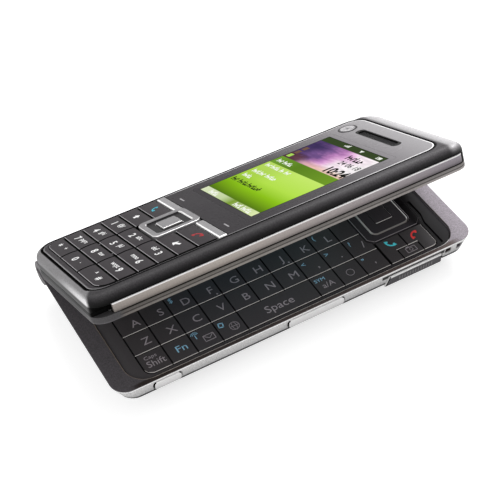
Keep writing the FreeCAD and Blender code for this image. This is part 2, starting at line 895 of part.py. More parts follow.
def make_rear_housing():
    body = new_node("rear_housing")
    add_rear_form(body)
    door = new_sketch(body, none)
    draw_box(door, -half_length, door_end + s.moving_gap,
             -door_half - s.moving_gap, door_half + s.moving_gap)
    pocket(body, door, s.door_thickness + s.fit_gap, backwards=True)
    bay = new_sketch(body, none)
    draw_box(bay, battery_x - s.fit_gap, battery_end + s.fit_gap,
             -s.battery_width / 2 - s.fit_gap, s.battery_width / 2 + s.fit_gap)
    pocket(body, bay, bay_top, backwards=True)
    lens = new_sketch(body, none)
    draw_circle(lens, camera_x, s.camera_y, s.camera_radius)
    pocket(body, lens, s.camera_depth, backwards=True)
    slots = new_sketch(body, none)
    for step in (-2, -1, 0, 1, 2):
        middle = s.sound_y + s.sound_slot_pitch * step
        draw_rounded(slots, camera_x - s.sound_slot_length / 2, camera_x + s.sound_slot_length / 2,
                     middle - s.sound_slot_width / 2, middle + s.sound_slot_width / 2,
                     s.sound_slot_corner)
    pocket(body, slots, s.sound_slot_width, backwards=True)
    screws = new_sketch(body, none)
    for side_x in (-1, 1):
        for side_y in (-1, 1):
            draw_circle(screws, screw_x * side_x, screw_y * side_y, s.screw_radius)
    pocket(body, screws, s.screw_sink + s.screw_length, backwards=True)
    notch = new_sketch(body, s.flap_bottom - s.moving_gap)
    draw_box(notch, flap_left - s.moving_gap, flap_right + s.moving_gap,
             -half_depth, s.flap_thickness + s.moving_gap - s.flap_proud - half_depth)
    pocket(body, notch, band_bottom - s.flap_bottom + s.moving_gap, backwards=True)
    return body


rear_housing = make_rear_housing()


def make_battery_door():
    """The end of the rear face; it is cut from the same form as the housing."""
    form = new_body("door_form")
    add_rear_form(form)
    block = new_box("door_block", -half_length, door_end, -door_half, door_half,
                    none, s.door_thickness)
    item = doc.addObject("Part::Common", "battery_door")
    item.Label = "battery_door"
    item.Base = form
    item.Tool = block
    nodes.append(item)
    return item


battery_door = make_battery_door()
battery = box_node("battery", battery_x, battery_end, -s.battery_width / 2, s.battery_width / 2,
                   s.door_thickness + s.fit_gap, s.door_thickness + s.fit_gap + s.battery_thickness)


def make_camera_ring():
    body = new_node("camera_ring")
    item = new_sketch(body, s.camera_sink)
    draw_circle(item, camera_x, s.camera_y, s.camera_radius - s.fit_gap)
    draw_circle(item, camera_x, s.camera_y, s.camera_glass_radius + s.fit_gap)
    pad(body, item, s.camera_depth - s.camera_sink)
    return body


camera_ring = make_camera_ring()
camera_window = new_cylinder("camera_window", s.camera_glass_radius, s.camera_depth - s.glass_sink,
                             camera_x, s.camera_y, s.glass_sink)
nodes.append(camera_window)

base_screws = group_node("base_screws", [
    new_cylinder("base_screw", s.screw_radius - s.fit_gap / 2, s.screw_length,
                 screw_x * side_x, screw_y * side_y, s.screw_sink)
    for side_x in (-1, 1) for side_y in (-1, 1)])

pin_length = s.pin_reach + s.hinge_clearance + s.knuckle_length - s.knuckle_inset
hinge_pins = group_node("hinge_pins", [
    new_cylinder("hinge_pin", s.pin_radius, pin_length, start, hinge_y, hinge_z, "X")
    for start in (barrel_end - s.pin_reach, -barrel_end + s.pin_reach - pin_length)])

board_margin = s.ledge_width + s.moving_gap


def make_main_board():
    body = new_node("main_board")
    item = new_sketch(body, band_bottom)
    draw_rounded(item, panel_left + board_margin, panel_right - board_margin,
                 panel_front + board_margin, panel_back - board_margin,
                 s.panel_corner - board_margin + s.fit_gap)
    pad(body, item, s.board_thickness)
    return body


main_board = make_main_board()
key_mat = box_node("key_mat", keys_left, cluster_right, keys_front, keys_back, board_top, mat_top)


def make_socket():
    """A flat metal socket, open at the end of the phone."""
    body = new_node("usb_socket")
    shell = new_sketch(body, panel_left - s.socket_depth, "YZ_Plane")
    reach = s.socket_width / 2 + s.socket_wall
    draw_rounded(shell, -reach, reach, socket_bottom, socket_top, s.socket_wall * 2)
    pad(body, shell, s.socket_depth)
    mouth = new_sketch(body, panel_left - s.socket_depth, "YZ_Plane")
    draw_rounded(mouth, -s.socket_width / 2, s.socket_width / 2, socket_bottom + s.socket_wall,
                 socket_top - s.socket_wall, s.socket_wall)
    pocket(body, mouth, s.socket_depth - s.socket_wall, backwards=True)
    return body


usb_socket = make_socket()


# ---------------------------------------------------------------- lid

lid_nodes = []


def new_lid_node(label):
    body = new_node(label)
    lid_nodes.append(body)
    return body


def draw_lid_outline(item):
    draw_rounded(item, -half_length, lid_right, -half_depth, lid_back,
                 (s.lid_corner, s.lid_corner, s.lid_back_corner, s.lid_back_corner))


def draw_face(item, reach):
    """The faceplate's outline, grown by reach."""
    draw_rounded(item, face_left - reach, face_right + reach, face_front - reach, face_back + reach,
                 s.face_corner + reach)


def cut_strip_seat(body, bottom, depth):
    """The rebate along the near edge that the side strip sits in, with a deeper pocket before it."""
    seat = new_sketch(body, bottom)
    strip_end = s.strip_left - half_length
    front = -half_depth - s.fit_gap
    draw_outline(seat, [(-half_length - s.fit_gap, front), (half_length - s.strip_right + s.fit_gap, front),
                        (half_length - s.strip_right + s.fit_gap, s.strip_depth - half_depth),
                        (strip_end, s.strip_depth - half_depth), (strip_end, s.pocket_depth - half_depth),
                        (-half_length - s.fit_gap, s.pocket_depth - half_depth)])
    pocket(body, seat, depth, backwards=True)


earpiece_x = half_length - s.earpiece_inset
front_camera_x = earpiece_x - s.front_camera_shift
display_left = keypad_right + s.display_left
display_right = earpiece_x - s.display_right
display_front = face_centre_y - s.display_width / 2


def draw_window(item, reach):
    draw_rounded(item, display_left - s.window_border - reach,
                 display_right + s.window_border + reach,
                 display_front - s.window_border - reach,
                 display_front + s.display_width + s.window_border + reach, s.window_corner + reach)


def draw_earpiece(item, reach):
    draw_rounded(item, earpiece_x - s.earpiece_width / 2 - reach,
                 earpiece_x + s.earpiece_width / 2 + reach,
                 dial_centre - s.earpiece_length / 2 - reach,
                 dial_centre + s.earpiece_length / 2 + reach, s.earpiece_corner + reach)


def draw_inner_window(item, reach):
    half_window = s.inner_display_length / 2 + s.inner_border + reach
    half_height = s.inner_display_width / 2 + s.inner_border + reach
    draw_rounded(item, -half_window, half_window, face_centre_y - half_height,
                 face_centre_y + half_height, s.inner_border)


def draw_inner_display(item, reach):
    half_window = s.inner_display_length / 2 + s.inner_border / 2 + reach
    half_height = s.inner_display_width / 2 + s.inner_border / 2 + reach
    draw_box(item, -half_window, half_window, face_centre_y - half_height, face_centre_y + half_height)


front_camera_y = face_back - s.front_camera_inset
lid_board_top = cover_top + s.lid_board_thickness


def lid_corner_places(inset, front, back):
    """Four places near the corners of the lid's inner side."""
    across = half_length - inset
    return [(x, y) for x in (-across, across) for y in (front - half_depth, lid_back - back)]


bumper_places = lid_corner_places(s.bumper_inset, s.bumper_front, s.bumper_back)
lid_screw_places = lid_corner_places(s.lid_screw_inset, s.lid_screw_edge, s.lid_screw_edge)


def make_inner_cover():
    """The lid's inner cover with the hinge barrel, the display seat and the strip's rebate."""
    body = new_lid_node("inner_cover")
    plate = new_sketch(body, lid_bottom)
    draw_lid_outline(plate)
    pad(body, plate, s.cover_thickness)
    for start in (barrel_end, -half_length - s.fit_gap):
        sweep = draw_hinge_circle(body, start, sweep_radius)
        pocket(body, sweep, half_length - barrel_end + s.fit_gap, backwards=True)
    web = new_sketch(body, -barrel_end, "YZ_Plane")
    draw_box(web, lid_back - s.cover_thickness, hinge_y, lid_bottom, cover_top)
    pad(body, web, barrel_end * 2)
    pad(body, draw_hinge_circle(body, -barrel_end, s.hinge_radius), barrel_end * 2)
    for start in (barrel_end - s.pin_reach - s.hinge_clearance, -barrel_end):
        bore = draw_hinge_circle(body, start, s.pin_radius + s.pin_play)
        pocket(body, bore, s.pin_reach + s.hinge_clearance, backwards=True)

    window = new_sketch(body, lid_bottom)
    draw_inner_window(window, s.fit_gap)
    pocket(body, window, s.inner_window_thickness, backwards=True)
    opening = new_sketch(body, lid_bottom)
    draw_inner_display(opening, s.fit_gap)
    pocket(body, opening, s.cover_thickness, backwards=True)
    screws = new_sketch(body, lid_bottom)
    for x, y in lid_screw_places:
        draw_circle(screws, x, y, s.lid_screw_radius)
    pocket(body, screws, s.lid_screw_sink + s.lid_screw_length, backwards=True)
    strip_base = mating + s.strip_bottom - s.fit_gap
    cut_strip_seat(body, strip_base, cover_top - strip_base)
    return body


def make_lid_shell():
    """The outer shell: a rolled rim around the seat of the faceplate."""
    body = new_lid_node("lid_shell")
    rim = new_sketch(body, cover_top)
    draw_lid_outline(rim)
    pad(body, rim, lid_top - cover_top)
    slope = new_sketch(body, half_depth + s.fit_gap, "XZ_Plane")
    draw_outline(slope, [(lid_right - s.end_slope_run, lid_top),
                         (lid_right + s.fit_gap, lid_top - s.end_slope_drop),
                         (lid_right + s.fit_gap, lid_top)])
    pocket(body, slope, s.phone_depth + s.fit_gap * 2)
    fillet(body, lambda edge: edge.BoundBox.ZMin > (lid_top - s.end_slope_drop).number - 1e-3
           and edge.BoundBox.YLength + edge.BoundBox.XLength > 0.01, s.shell_roll)
    seat = new_sketch(body, lid_top)
    draw_face(seat, s.face_groove)
    pocket(body, seat, s.face_thickness)
    cavity = new_sketch(body, face_bottom)
    draw_face(cavity, -s.face_ledge)
    pocket(body, cavity, face_bottom - cover_top)
    cut_strip_seat(body, cover_top, mating + s.strip_top + s.fit_gap - cover_top)
    return body


def make_faceplate():
    """The glossy faceplate with the keypad's opening, the display window and the sound slot."""
    body = new_lid_node("faceplate")
    plate = new_sketch(body, face_bottom)
    draw_face(plate, none)
    pad(body, plate, s.face_thickness)
    keypad = new_sketch(body, lid_top)
    draw_rounded(keypad, dial_left - s.fit_gap, keypad_right + s.fit_gap, keypad_front - s.fit_gap,
                 keypad_back + s.fit_gap,
                 (keypad_corner, s.key_corner, s.key_corner, keypad_corner))
    pocket(body, keypad, s.face_thickness)
    openings = new_sketch(body, lid_top)
    draw_window(openings, s.fit_gap / 2)
    draw_earpiece(openings, s.fit_gap / 2)
    draw_circle(openings, front_camera_x, front_camera_y, s.front_camera_radius + s.fit_gap / 2)
    pocket(body, openings, s.face_thickness)
    return body


inner_cover = make_inner_cover()
lid_shell = make_lid_shell()
faceplate = make_faceplate()


def lid_piece(label, draw, reach, bottom, top):
    """A lid piece with one outline and level faces."""
    body = new_lid_node(label)
    item = new_sketch(body, bottom)
    draw(item, reach)
    pad(body, item, top - bottom)
    return body


def draw_front_camera(item, reach):
    draw_circle(item, front_camera_x, front_camera_y, s.front_camera_radius + reach)


def draw_bumpers(item, reach):
    for x, y in bumper_places:
        draw_circle(item, x, y, s.bumper_radius + reach)


def draw_lid_screws(item, reach):
    for x, y in lid_screw_places:
        draw_circle(item, x, y, s.lid_screw_radius + reach)


def draw_lid_board(item, reach):
    draw_face(item, reach - s.face_ledge)


def draw_lid_mat(item, reach):
    draw_rounded(item, dial_left + reach, keypad_right - reach, keypad_front + reach,
                 keypad_back - reach, keypad_corner)


window_bottom = lid_top - s.window_thickness
inner_window_top = lid_bottom + s.inner_window_thickness
outer_window = lid_piece("outer_window", draw_window, none, window_bottom, lid_top)
outer_display = lid_piece("outer_display", draw_window, none - s.fit_gap / 2, lid_board_top, window_bottom)
inner_window = lid_piece("inner_window", draw_inner_window, none, lid_bottom, inner_window_top)
inner_display = lid_piece("inner_display", draw_inner_display, none, inner_window_top, cover_top)
earpiece = lid_piece("earpiece", draw_earpiece, none, lid_board_top, lid_top - s.earpiece_sink)
front_camera = lid_piece("front_camera", draw_front_camera, none, lid_board_top, lid_top + s.fit_gap)
lid_board = lid_piece("lid_board", draw_lid_board, none - s.fit_gap, cover_top, lid_board_top)
lid_key_mat = lid_piece("lid_key_mat", draw_lid_mat, s.fit_gap, lid_board_top,
                        lid_key_bottom - s.key_travel)
lid_bumpers = lid_piece("lid_bumpers", draw_bumpers, none, lid_bottom - s.bumper_height, lid_bottom)
lid_screws = lid_piece("lid_screws", draw_lid_screws, none - s.fit_gap / 2,
                       lid_bottom + s.lid_screw_sink,
                       lid_bottom + s.lid_screw_sink + s.lid_screw_length)


def make_side_strip():
    """The bright strip along the near edge: a slice of the lid's own outline."""
    form = new_body("strip_form")
    item = new_sketch(form, mating + s.strip_bottom)
    draw_rounded(item, s.strip_sink - half_length, lid_right - s.strip_sink,
                 s.strip_sink - half_depth, lid_back, s.lid_corner - s.strip_sink)
    pad(form, item, s.strip_top - s.strip_bottom)
    block = new_box("strip_block", s.strip_left - half_length, half_length - s.strip_right,
                    -half_depth, s.strip_depth - half_depth, mating, lid_top)
    strip = doc.addObject("Part::Common", "side_strip")
    strip.Label = "side_strip"
    strip.Base = form
    strip.Tool = block
    nodes.append(strip)
    lid_nodes.append(strip)
    return strip


side_strip = make_side_strip()


# keypad of the lid

def draw_dial_key(item, left, right, front, back, bow_front, bow_back):
    """A key between two row lines; a bowed side follows the arc that parts two columns."""
    bows = {}
    if bow_front:
        bows[0] = -s.separator_radius
    if bow_back:
        bows[2] = s.separator_radius
    draw_outline(item, [(left, front), (right, front), (right, back), (left, back)], bows)


def make_lid_key(label, left, right, front, back, bow_front=False, bow_back=False):
    body = new_lid_node(label)
    item = new_sketch(body, lid_key_bottom)
    draw_dial_key(item, left + half_gap, right - half_gap, front + half_gap, back - half_gap,
                  bow_front, bow_back)
    pad(body, item, lid_key_top - lid_key_bottom)
    return body


DIAL_ROWS = (("hash", "zero", "star"), ("nine", "eight", "seven"), ("six", "five", "four"),
             ("three", "two", "one"))
lid_keys = []
for row, names in enumerate(DIAL_ROWS):
    left = dial_left + s.dial_pitch * row
    for column, name in enumerate(names):
        lid_keys.append(make_lid_key("lid_key_" + name, left, left + s.dial_pitch, column_lines[column],
                                     column_lines[column + 1], column > 0, column < 2))

# the two end keys follow the rounded corners of the faceplate
for key, y in ((lid_keys[0], keypad_front + half_gap), (lid_keys[2], keypad_back - half_gap)):
    fillet(key, lambda edge: is_upright_at(edge, dial_left + half_gap, y), keypad_corner)

ring_front = dial_centre - s.lid_ring_width / 2 - s.moving_gap
ring_back = dial_centre + s.lid_ring_width / 2 + s.moving_gap
home_left = dial_right
call_left = dial_right + s.call_pitch
softkey_left = call_left + s.call_pitch
for near_name, far_name, left, right in (
        ("lid_back_key", "lid_home_key", home_left, call_left),
        ("lid_end_key", "lid_call_key", call_left, softkey_left),
        ("softkey_near", "softkey_far", softkey_left, keypad_right)):
    lid_keys.append(make_lid_key(near_name, left, right, keypad_front, ring_front + half_gap))
    lid_keys.append(make_lid_key(far_name, left, right, ring_back - half_gap, keypad_back))


def draw_lid_ring(item, reach):
    along = s.lid_ring_length / 2 + reach
    across = s.lid_ring_width / 2 + reach
    draw_rounded(item, lid_ring_centre - along, lid_ring_centre + along,
                 dial_centre - across, dial_centre + across, s.ring_corner + reach / 2)


def draw_lid_select(item, reach):
    half_size = s.lid_select_size / 2 + reach
    draw_rounded(item, lid_ring_centre - half_size, lid_ring_centre + half_size,
                 dial_centre - half_size, dial_centre + half_size, s.lid_key_corner + reach)


def make_lid_ring():
    """The raised metal ring of the pad, sunk inside its rim, with a hole for the select key."""
    body = lid_piece("lid_nav_ring", draw_lid_ring, none, lid_key_bottom, lid_key_top + s.lid_ring_raise)
    inside = new_sketch(body, lid_key_top + s.lid_ring_raise)
    draw_lid_ring(inside, -s.lid_ring_wall)
    pocket(body, inside, s.lid_ring_raise)
    hole = new_sketch(body, lid_key_top)
    draw_lid_select(hole, s.moving_gap)
    pocket(body, hole, lid_key_top - lid_key_bottom)
    return body


make_lid_ring()
lid_piece("lid_select_key", draw_lid_select, none, lid_key_bottom,
          lid_key_top + s.lid_ring_raise)

# the lid stands open about the hinge line
doc.recompute()
hinge_line = Vector(0, hinge_y.number, hinge_z.number)
opened = Placement(Vector(), Rotation(Vector(1, 0, 0), -s.rest_angle.number), hinge_line)
for item in lid_nodes:
    item.Placement = opened
doc.recompute()


# ---------------------------------------------------------------- checks and files

def check_document():
    for item in doc.Objects:
        if "Invalid" in item.State or "Error" in item.State:
            raise RuntimeError("%s did not build" % item.Label)
    for item in nodes:
        if item.Shape.isNull() or not item.Shape.isValid() or not item.Shape.Solids:
            raise RuntimeError("%s has no sound solid" % item.Label)


check_document()
os.makedirs("parts", exist_ok=True)
for item in nodes:
    item.Shape.exportStep(os.path.join("parts", item.Label + ".step"))
print("%d sub-parts written" % len(nodes))
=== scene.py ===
"""The looks of a clamshell communicator phone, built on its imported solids."""

import json
import math

import bmesh
import bpy
from mathutils import Matrix, Vector


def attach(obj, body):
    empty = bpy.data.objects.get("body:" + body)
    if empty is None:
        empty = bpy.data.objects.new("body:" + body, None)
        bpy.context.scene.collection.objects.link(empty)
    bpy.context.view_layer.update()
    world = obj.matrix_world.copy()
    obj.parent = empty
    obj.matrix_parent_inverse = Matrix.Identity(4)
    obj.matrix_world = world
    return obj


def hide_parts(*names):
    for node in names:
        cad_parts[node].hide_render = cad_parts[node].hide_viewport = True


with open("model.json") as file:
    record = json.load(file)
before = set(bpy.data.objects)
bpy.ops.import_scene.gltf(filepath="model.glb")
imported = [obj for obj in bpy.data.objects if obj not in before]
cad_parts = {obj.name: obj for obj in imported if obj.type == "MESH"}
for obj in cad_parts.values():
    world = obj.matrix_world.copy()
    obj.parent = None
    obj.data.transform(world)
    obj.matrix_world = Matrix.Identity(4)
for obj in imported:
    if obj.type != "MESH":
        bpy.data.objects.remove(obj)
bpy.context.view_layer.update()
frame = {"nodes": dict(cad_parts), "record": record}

MM = 0.001
REST_ANGLE = math.radians(26.5)
HINGE = Vector((0, 22.9, 10.15))

# levels, in millimetres of the closed phone
LID_TOP = 18.75
LID_KEY_TOP = 18.95
KEY_TOP = 10.05
PANEL_TOP = 9.95
FRAME_TOP = 10.6

# faceplate, pictures of the two screens and earpiece slot, as left, right, front and back
FACE_BOX = (-54.35, 49.4, -23.55, 19.3)
FACE_CORNER = 4.4
PICTURE = (-6.92, 35.8, -18.125, 13.875)
INNER_PICTURE = (-28.3, 28.3, -19.1, 14.9)
EARPIECE_BOX = (42.15, 44.45, -11.7, 9.3)
EARPIECE_CORNER = 1.15

# middles of the round camera windows, along and across the phone
FRONT_CAMERA_PLACE = (42.5, 14.4)
LENS_PLACE = (38.0, 9.0)

# dial keys of the lid, and the middle of its pad
DIAL_LEFT = -52.7
DIAL_PITCH = 5.53
CALL_LEFT = DIAL_LEFT + DIAL_PITCH * 4
CALL_PITCH = 5.88
DIAL_COLUMNS = (12.2, -1.1, -15.4)
PAD_X = -23.35
PAD_Y = -1.125

# letter keys and other keys of the base
KEYS_LEFT = -46.1
KEY_PITCH = 7.59
KEYS_FRONT = -23.8
ROW_PITCH = 7.2
CALL_KEY_PLACE = (33.8, -17.1)
END_KEY_PLACE = (41.6, -17.3)
CAMERA_KEY_PLACE = (37.9, -21.6)
BASE_RING_BOX = (31.3, 44.0, -12.4, 1.2)

# closed lid, in millimetres -> open lid, in metres
LID_PLACE = (Matrix.Scale(MM, 4) @ Matrix.Translation(HINGE) @ Matrix.Rotation(-REST_ANGLE, 4, "X")
        @ Matrix.Translation(-HINGE))
BASE_PLACE = Matrix.Scale(MM, 4)


def show(item):
    bpy.context.scene.collection.objects.link(item)
    return item


# ---------------------------------------------------------------- nodes

def rgb(value):
    """Red, green and blue: one number is a grey, two are red and blue alike and green."""
    if isinstance(value, float):
        return (value, value, value)
    if isinstance(value, tuple) and len(value) == 2:
        return (value[0], value[1], value[0])
    return value


def feed(tree, socket, value):
    """Link an output to a socket, or set the socket's own value."""
    if isinstance(value, bpy.types.NodeSocket):
        tree.links.new(value, socket)
    else:
        socket.default_value = (*rgb(value), 1) if socket.type == "RGBA" else value


def add_node(tree, kind, inputs=(), **settings):
    """The outputs of a new node whose inputs are given by name or number."""
    node = tree.nodes.new(kind)
    for name, value in settings.items():
        setattr(node, name, value)
    for name, value in dict(inputs).items():
        feed(tree, node.inputs[name], value)
    return node.outputs


def add_math(tree, operation, *values):
    return add_node(tree, "ShaderNodeMath", enumerate(values), operation=operation)[0]


def new_group(name, inputs, outputs):
    """An empty shader node group with named float or vector sockets."""
    group = bpy.data.node_groups.new(name, "ShaderNodeTree")
    for socket in inputs:
        kind = "NodeSocketVector" if socket == "Place" else "NodeSocketFloat"
        group.interface.new_socket(socket, in_out="INPUT", socket_type=kind)
    for socket in outputs:
        group.interface.new_socket(socket, in_out="OUTPUT", socket_type="NodeSocketFloat")
    return group, add_node(group, "NodeGroupInput")


def grain_group():
    """Fine metallic or moulded grain: a speckle for colour and a height for bump."""
    group, given = new_group("fine_grain", ("Place", "Scale", "Amount"), ("Speckle", "Height"))
    height = add_node(group, "ShaderNodeTexNoise",
            {"Vector": given["Place"], "Scale": given["Scale"], "Detail": 2.0})["Fac"]
    centred = add_math(group, "SUBTRACT", height, 0.5)
    speckle = add_math(group, "MULTIPLY_ADD", centred, given["Amount"], 1.0)
    add_node(group, "NodeGroupOutput", {"Speckle": speckle, "Height": height})
    return group


def marks_group():
    """Slow, uneven handling marks that make a gloss rougher in places."""
    group, given = new_group("handling_marks", ("Place", "Level", "Amount"), ("Roughness",))
    marks = add_node(group, "ShaderNodeTexNoise", {"Vector": given["Place"], "Scale": 0.12, "Detail": 4.0})
    rough = add_math(group, "MULTIPLY_ADD", marks["Fac"], given["Amount"], given["Level"])
    add_node(group, "NodeGroupOutput", {"Roughness": rough})
    return group


GRAIN = grain_group()
MARKS = marks_group()


class Finish:
    """One material under construction, with its pattern in millimetres of the closed phone."""

    def __init__(self, name, where="base", grain=None):
        self.material = bpy.data.materials.new(name)
        self.material.use_nodes = True
        self.tree = self.material.node_tree
        self.shader = self.tree.nodes["Principled BSDF"]
        angle = REST_ANGLE if where == "lid" else 0.0
        self.place = self.node("ShaderNodeMapping", {
            "Vector": self.node("ShaderNodeTexCoord")["Object"], "Scale": (1 / MM, 1 / MM, 1 / MM),
            "Rotation": (angle, 0, 0), "Location": HINGE - Matrix.Rotation(angle, 4, "X") @ HINGE})["Vector"]
        self.x, self.y, self.z = self.node("ShaderNodeSeparateXYZ", {0: self.place})
        if grain:
            self.speckle = self.grain(*grain)

    def node(self, kind, inputs=(), **settings):
        return add_node(self.tree, kind, inputs, **settings)

    def math(self, operation, *values):
        return add_math(self.tree, operation, *values)

    def times(self, first, second):
        return self.math("MULTIPLY", first, second)

    def most(self, first, second):
        return self.math("MAXIMUM", first, second)

    def minus(self, first, second):
        return self.math("SUBTRACT", first, second)

    def step(self, value, low, high, start=0.0, end=1.0):
        """A smooth change from start to end while value goes from low to high."""
        return self.node("ShaderNodeMapRange", {"Value": value, "From Min": low, "From Max": high, "To Min": start,
                "To Max": end}, interpolation_type="SMOOTHSTEP")["Result"]

    def between(self, value, low, high, soft=0.05):
        """One inside the range and nought outside it."""
        return self.times(self.step(value, low - soft, low + soft), self.step(value, high + soft, high - soft))

    def within(self, left, right, front, back):
        return self.times(self.between(self.x, left, right), self.between(self.y, front, back))

    def beyond(self, box, corner):
        """Distance outside a rounded box, in the plane of the lid or base."""
        left, right, front, back = box
        parts = []
        for value, low, high in ((self.x, left, right), (self.y, front, back)):
            away = self.math("ABSOLUTE", self.minus(value, (low + high) / 2))
            past = self.most(self.minus(away, (high - low) / 2 - corner), 0.0)
            parts.append(self.math("POWER", past, 2.0))
        return self.minus(self.math("SQRT", self.math("ADD", *parts)), corner)

    def away_from(self, x, y):
        return self.beyond((x, x, y, y), 0.0)

    def ramp(self, value, low, high, *stops):
        """Colours at shares of the way from low to high."""
        share = self.node("ShaderNodeMapRange", {"Value": value, "From Min": low, "From Max": high})["Result"]
        colour = self.node("ShaderNodeValToRGB", {"Fac": share})["Color"]
        elements = colour.node.color_ramp.elements
        while len(elements) < len(stops):
            elements.new(0.5)
        for element, (place, tone) in zip(elements, stops):
            element.position = place
            element.color = (*rgb(tone), 1)
        return colour

    def blend(self, first, second, share):
        return self.node("ShaderNodeMix", {0: share, 6: first, 7: second}, data_type="RGBA")[2]

    def tint(self, colour, factor):
        """A colour made lighter or darker by a value that is about one."""
        return self.node("ShaderNodeVectorMath", {0: rgb(colour), "Scale": factor}, operation="SCALE")[0]

    def noise(self, scale, stretch, detail=3.0):
        place = self.node("ShaderNodeMapping", {"Vector": self.place, "Scale": stretch})["Vector"]
        return self.node("ShaderNodeTexNoise", {"Vector": place, "Scale": scale, "Detail": detail})["Fac"]

    def group(self, tree, **inputs):
        return self.node("ShaderNodeGroup", {"Place": self.place, **inputs}, node_tree=tree)

    def grain(self, scale, amount, depth, strength=0.5):
        """Adds the grain's relief and gives back its speckle."""
        made = self.group(GRAIN, Scale=scale, Amount=amount)
        self.bump(made["Height"], depth, strength)
        return made["Speckle"]

    def brushed(self, stretch, colour, dark=0.8, bright=1.2):
        """The colour of steel with fine lines that run along one axis, and their relief."""
        lines = self.noise(1.0, stretch)
        self.bump(lines, 6e-6, 0.5)
        return self.tint(colour, self.step(lines, 0.3, 0.7, dark, bright))

    def marks(self, level, amount):
        return self.group(MARKS, Level=level, Amount=amount)["Roughness"]

    def bump(self, height, depth, strength):
        """Relief of that depth in metres."""
        made = self.node("ShaderNodeBump", {"Distance": depth, "Strength": strength, "Height": height})
        self.tree.links.new(made["Normal"], self.shader.inputs["Normal"])

    def finish(self, **sockets):
        for name, value in sockets.items():
            feed(self.tree, self.shader.inputs[name.replace("_", " ")], value)
        return self.material

    def done(self, colour, specular, level, amount, **sockets):
        """The material of a speckled colour, with its shine and its handling marks."""
        return self.finish(Base_Color=self.tint(colour, self.speckle), Specular_IOR_Level=specular,
                Roughness=self.marks(level, amount), **sockets)


# ---------------------------------------------------------------- finishes

def lid_shell_paint():
    """Gunmetal paint with painted shade low on the near roll and a painted highlight high on it, and silver over the
    two rolled ends that is partly a painted reflection.
    """
    item = Finish("lid_shell_paint", "lid", (2.6, 0.9, 5e-6))
    # painted shade and highlight on the near roll: near-black low down, lightest high on the roll
    painted_roll_shading = item.ramp(item.z, 14.4, 18.8, (0.0, 0.003), (0.3, 0.008), (0.52, (0.022, 0.021)), (0.72, (0.05, 0.047)),
            (0.88, (0.085, 0.082)), (1.0, (0.05, 0.047)))
    # painted light: the near roll's painted shading is made lighter towards the earpiece end
    light = item.step(item.x, -14.0, 48.0, 0.75, 1.5)
    near_cut = item.step(item.minus(item.y, item.x), 32.0, 34.0)
    left = item.times(item.step(item.x, -52.6, -54.4), near_cut)
    right = item.times(item.step(item.x, 50.0, 52.0), item.step(item.z, 15.4, 16.6))
    # painted highlight low on the left end, towards the near corner
    corner_highlight = item.times(item.step(item.y, 2.0, -24.0), item.step(item.z, 18.1, 16.6))
    silver = item.blend((0.2, 0.195), (0.8, 0.79), corner_highlight)
    flank = item.blend((0.03, 0.029), (0.055, 0.053), item.step(item.y, -4.0, -22.0))
    silver = item.blend(flank, silver, item.step(item.z, 15.2, 16.0))
    colour = item.blend(item.tint(painted_roll_shading, light), silver, left)
    # painted shade and highlight up the right end: dark at the bottom, brightest near the top
    end_painted_shading = item.ramp(item.z, 15.6, 18.3, (0.0, (0.02, 0.019)), (0.35, (0.08, 0.078)), (0.65, (0.3, 0.29)),
            (0.85, (0.6, 0.59)), (1.0, (0.42, 0.41)))
    colour = item.blend(colour, end_painted_shading, right)
    groove = item.step(item.beyond(FACE_BOX, FACE_CORNER), 0.9, 0.66)
    colour = item.blend(colour, 0.004, groove)
    ends = item.times(item.most(left, right), item.minus(1.0, groove))
    return item.done(colour, 0.03, 0.38, 0.1, Metallic=item.times(ends, 0.3))


def cover_satin():
    """The lid's inner cover: dark at the left end, champagne-grey where it shows under the strip, and lighter along
    its lower lip as a painted highlight.
    """
    item = Finish("cover_satin", "lid", (2.8, 0.6, 4e-6))
    flank = item.ramp(item.y, -22.0, 20.0, (0.0, (0.085, 0.082)), (0.25, (0.045, 0.043)), (1.0, (0.035, 0.033)))
    # painted highlight: the flank is lighter along its lower lip
    flank = item.blend((0.12, 0.115), flank, item.step(item.z, 11.0, 11.3))
    edge = item.ramp(item.x, -50.0, 54.0, (0.0, (0.16, 0.145, 0.135)), (0.3, (0.26, 0.24, 0.22)),
            (0.8, (0.3, 0.275, 0.265)), (1.0, (0.4, 0.37, 0.36)))
    # painted highlight: the edge band is lightest at its lower lip, with darker bands higher up
    edge = item.tint(edge, item.ramp(item.z, 10.8, 12.75, (0.0, 1.1), (0.34, 1.0), (0.42, 0.3), (0.52, 0.3),
            (0.6, 0.75), (0.85, 0.6), (0.92, 0.08), (1.0, 0.05)))
    near = item.times(item.step(item.y, -23.0, -24.4), item.step(item.x, -50.5, -48.5))
    colour = item.blend(item.blend(flank, edge, near), 0.003, item.step(item.z, 12.62, 12.7))
    return item.done(colour, 0.04, 0.38, 0.08)


def face_colours(item):
    """Smoked tone that lightens from the keypad to the earpiece end."""
    return item.ramp(item.x, -55.0, 50.0, (0.0, (0.022, 0.019)), (0.45, (0.023, 0.02)), (0.68, (0.06, 0.055)),
            (0.86, (0.17, 0.16)), (1.0, (0.34, 0.33)))


def far_light(item):
    """The part of the faceplate's far edge that catches the light, from the soft keys on."""
    return item.times(item.step(item.y, 16.0, 18.0), item.step(item.x, -20.0, -10.0))


def faceplate_gloss():
    item = Finish("faceplate_gloss", "lid", (5.0, 0.35, 2e-6))
    slot = item.step(item.beyond(EARPIECE_BOX, EARPIECE_CORNER), 0.55, 0.35)
    colour = item.blend(face_colours(item), 0.008, slot)
    # painted highlight along the faceplate's outer margin: dull along the keypad, brightening towards the earpiece
    # end and along the far edge
    rim = item.ramp(item.x, -55.0, 50.0, (0.0, (0.1, 0.095)), (0.3, (0.12, 0.115)), (0.6, (0.32, 0.31)),
            (1.0, (0.9, 0.89)))
    rim = item.blend(rim, (0.75, 0.74), far_light(item))
    colour = item.blend(colour, rim, item.step(item.beyond(FACE_BOX, FACE_CORNER), -0.5, -0.36))
    return item.done(colour, 0.025, 0.22, 0.1)


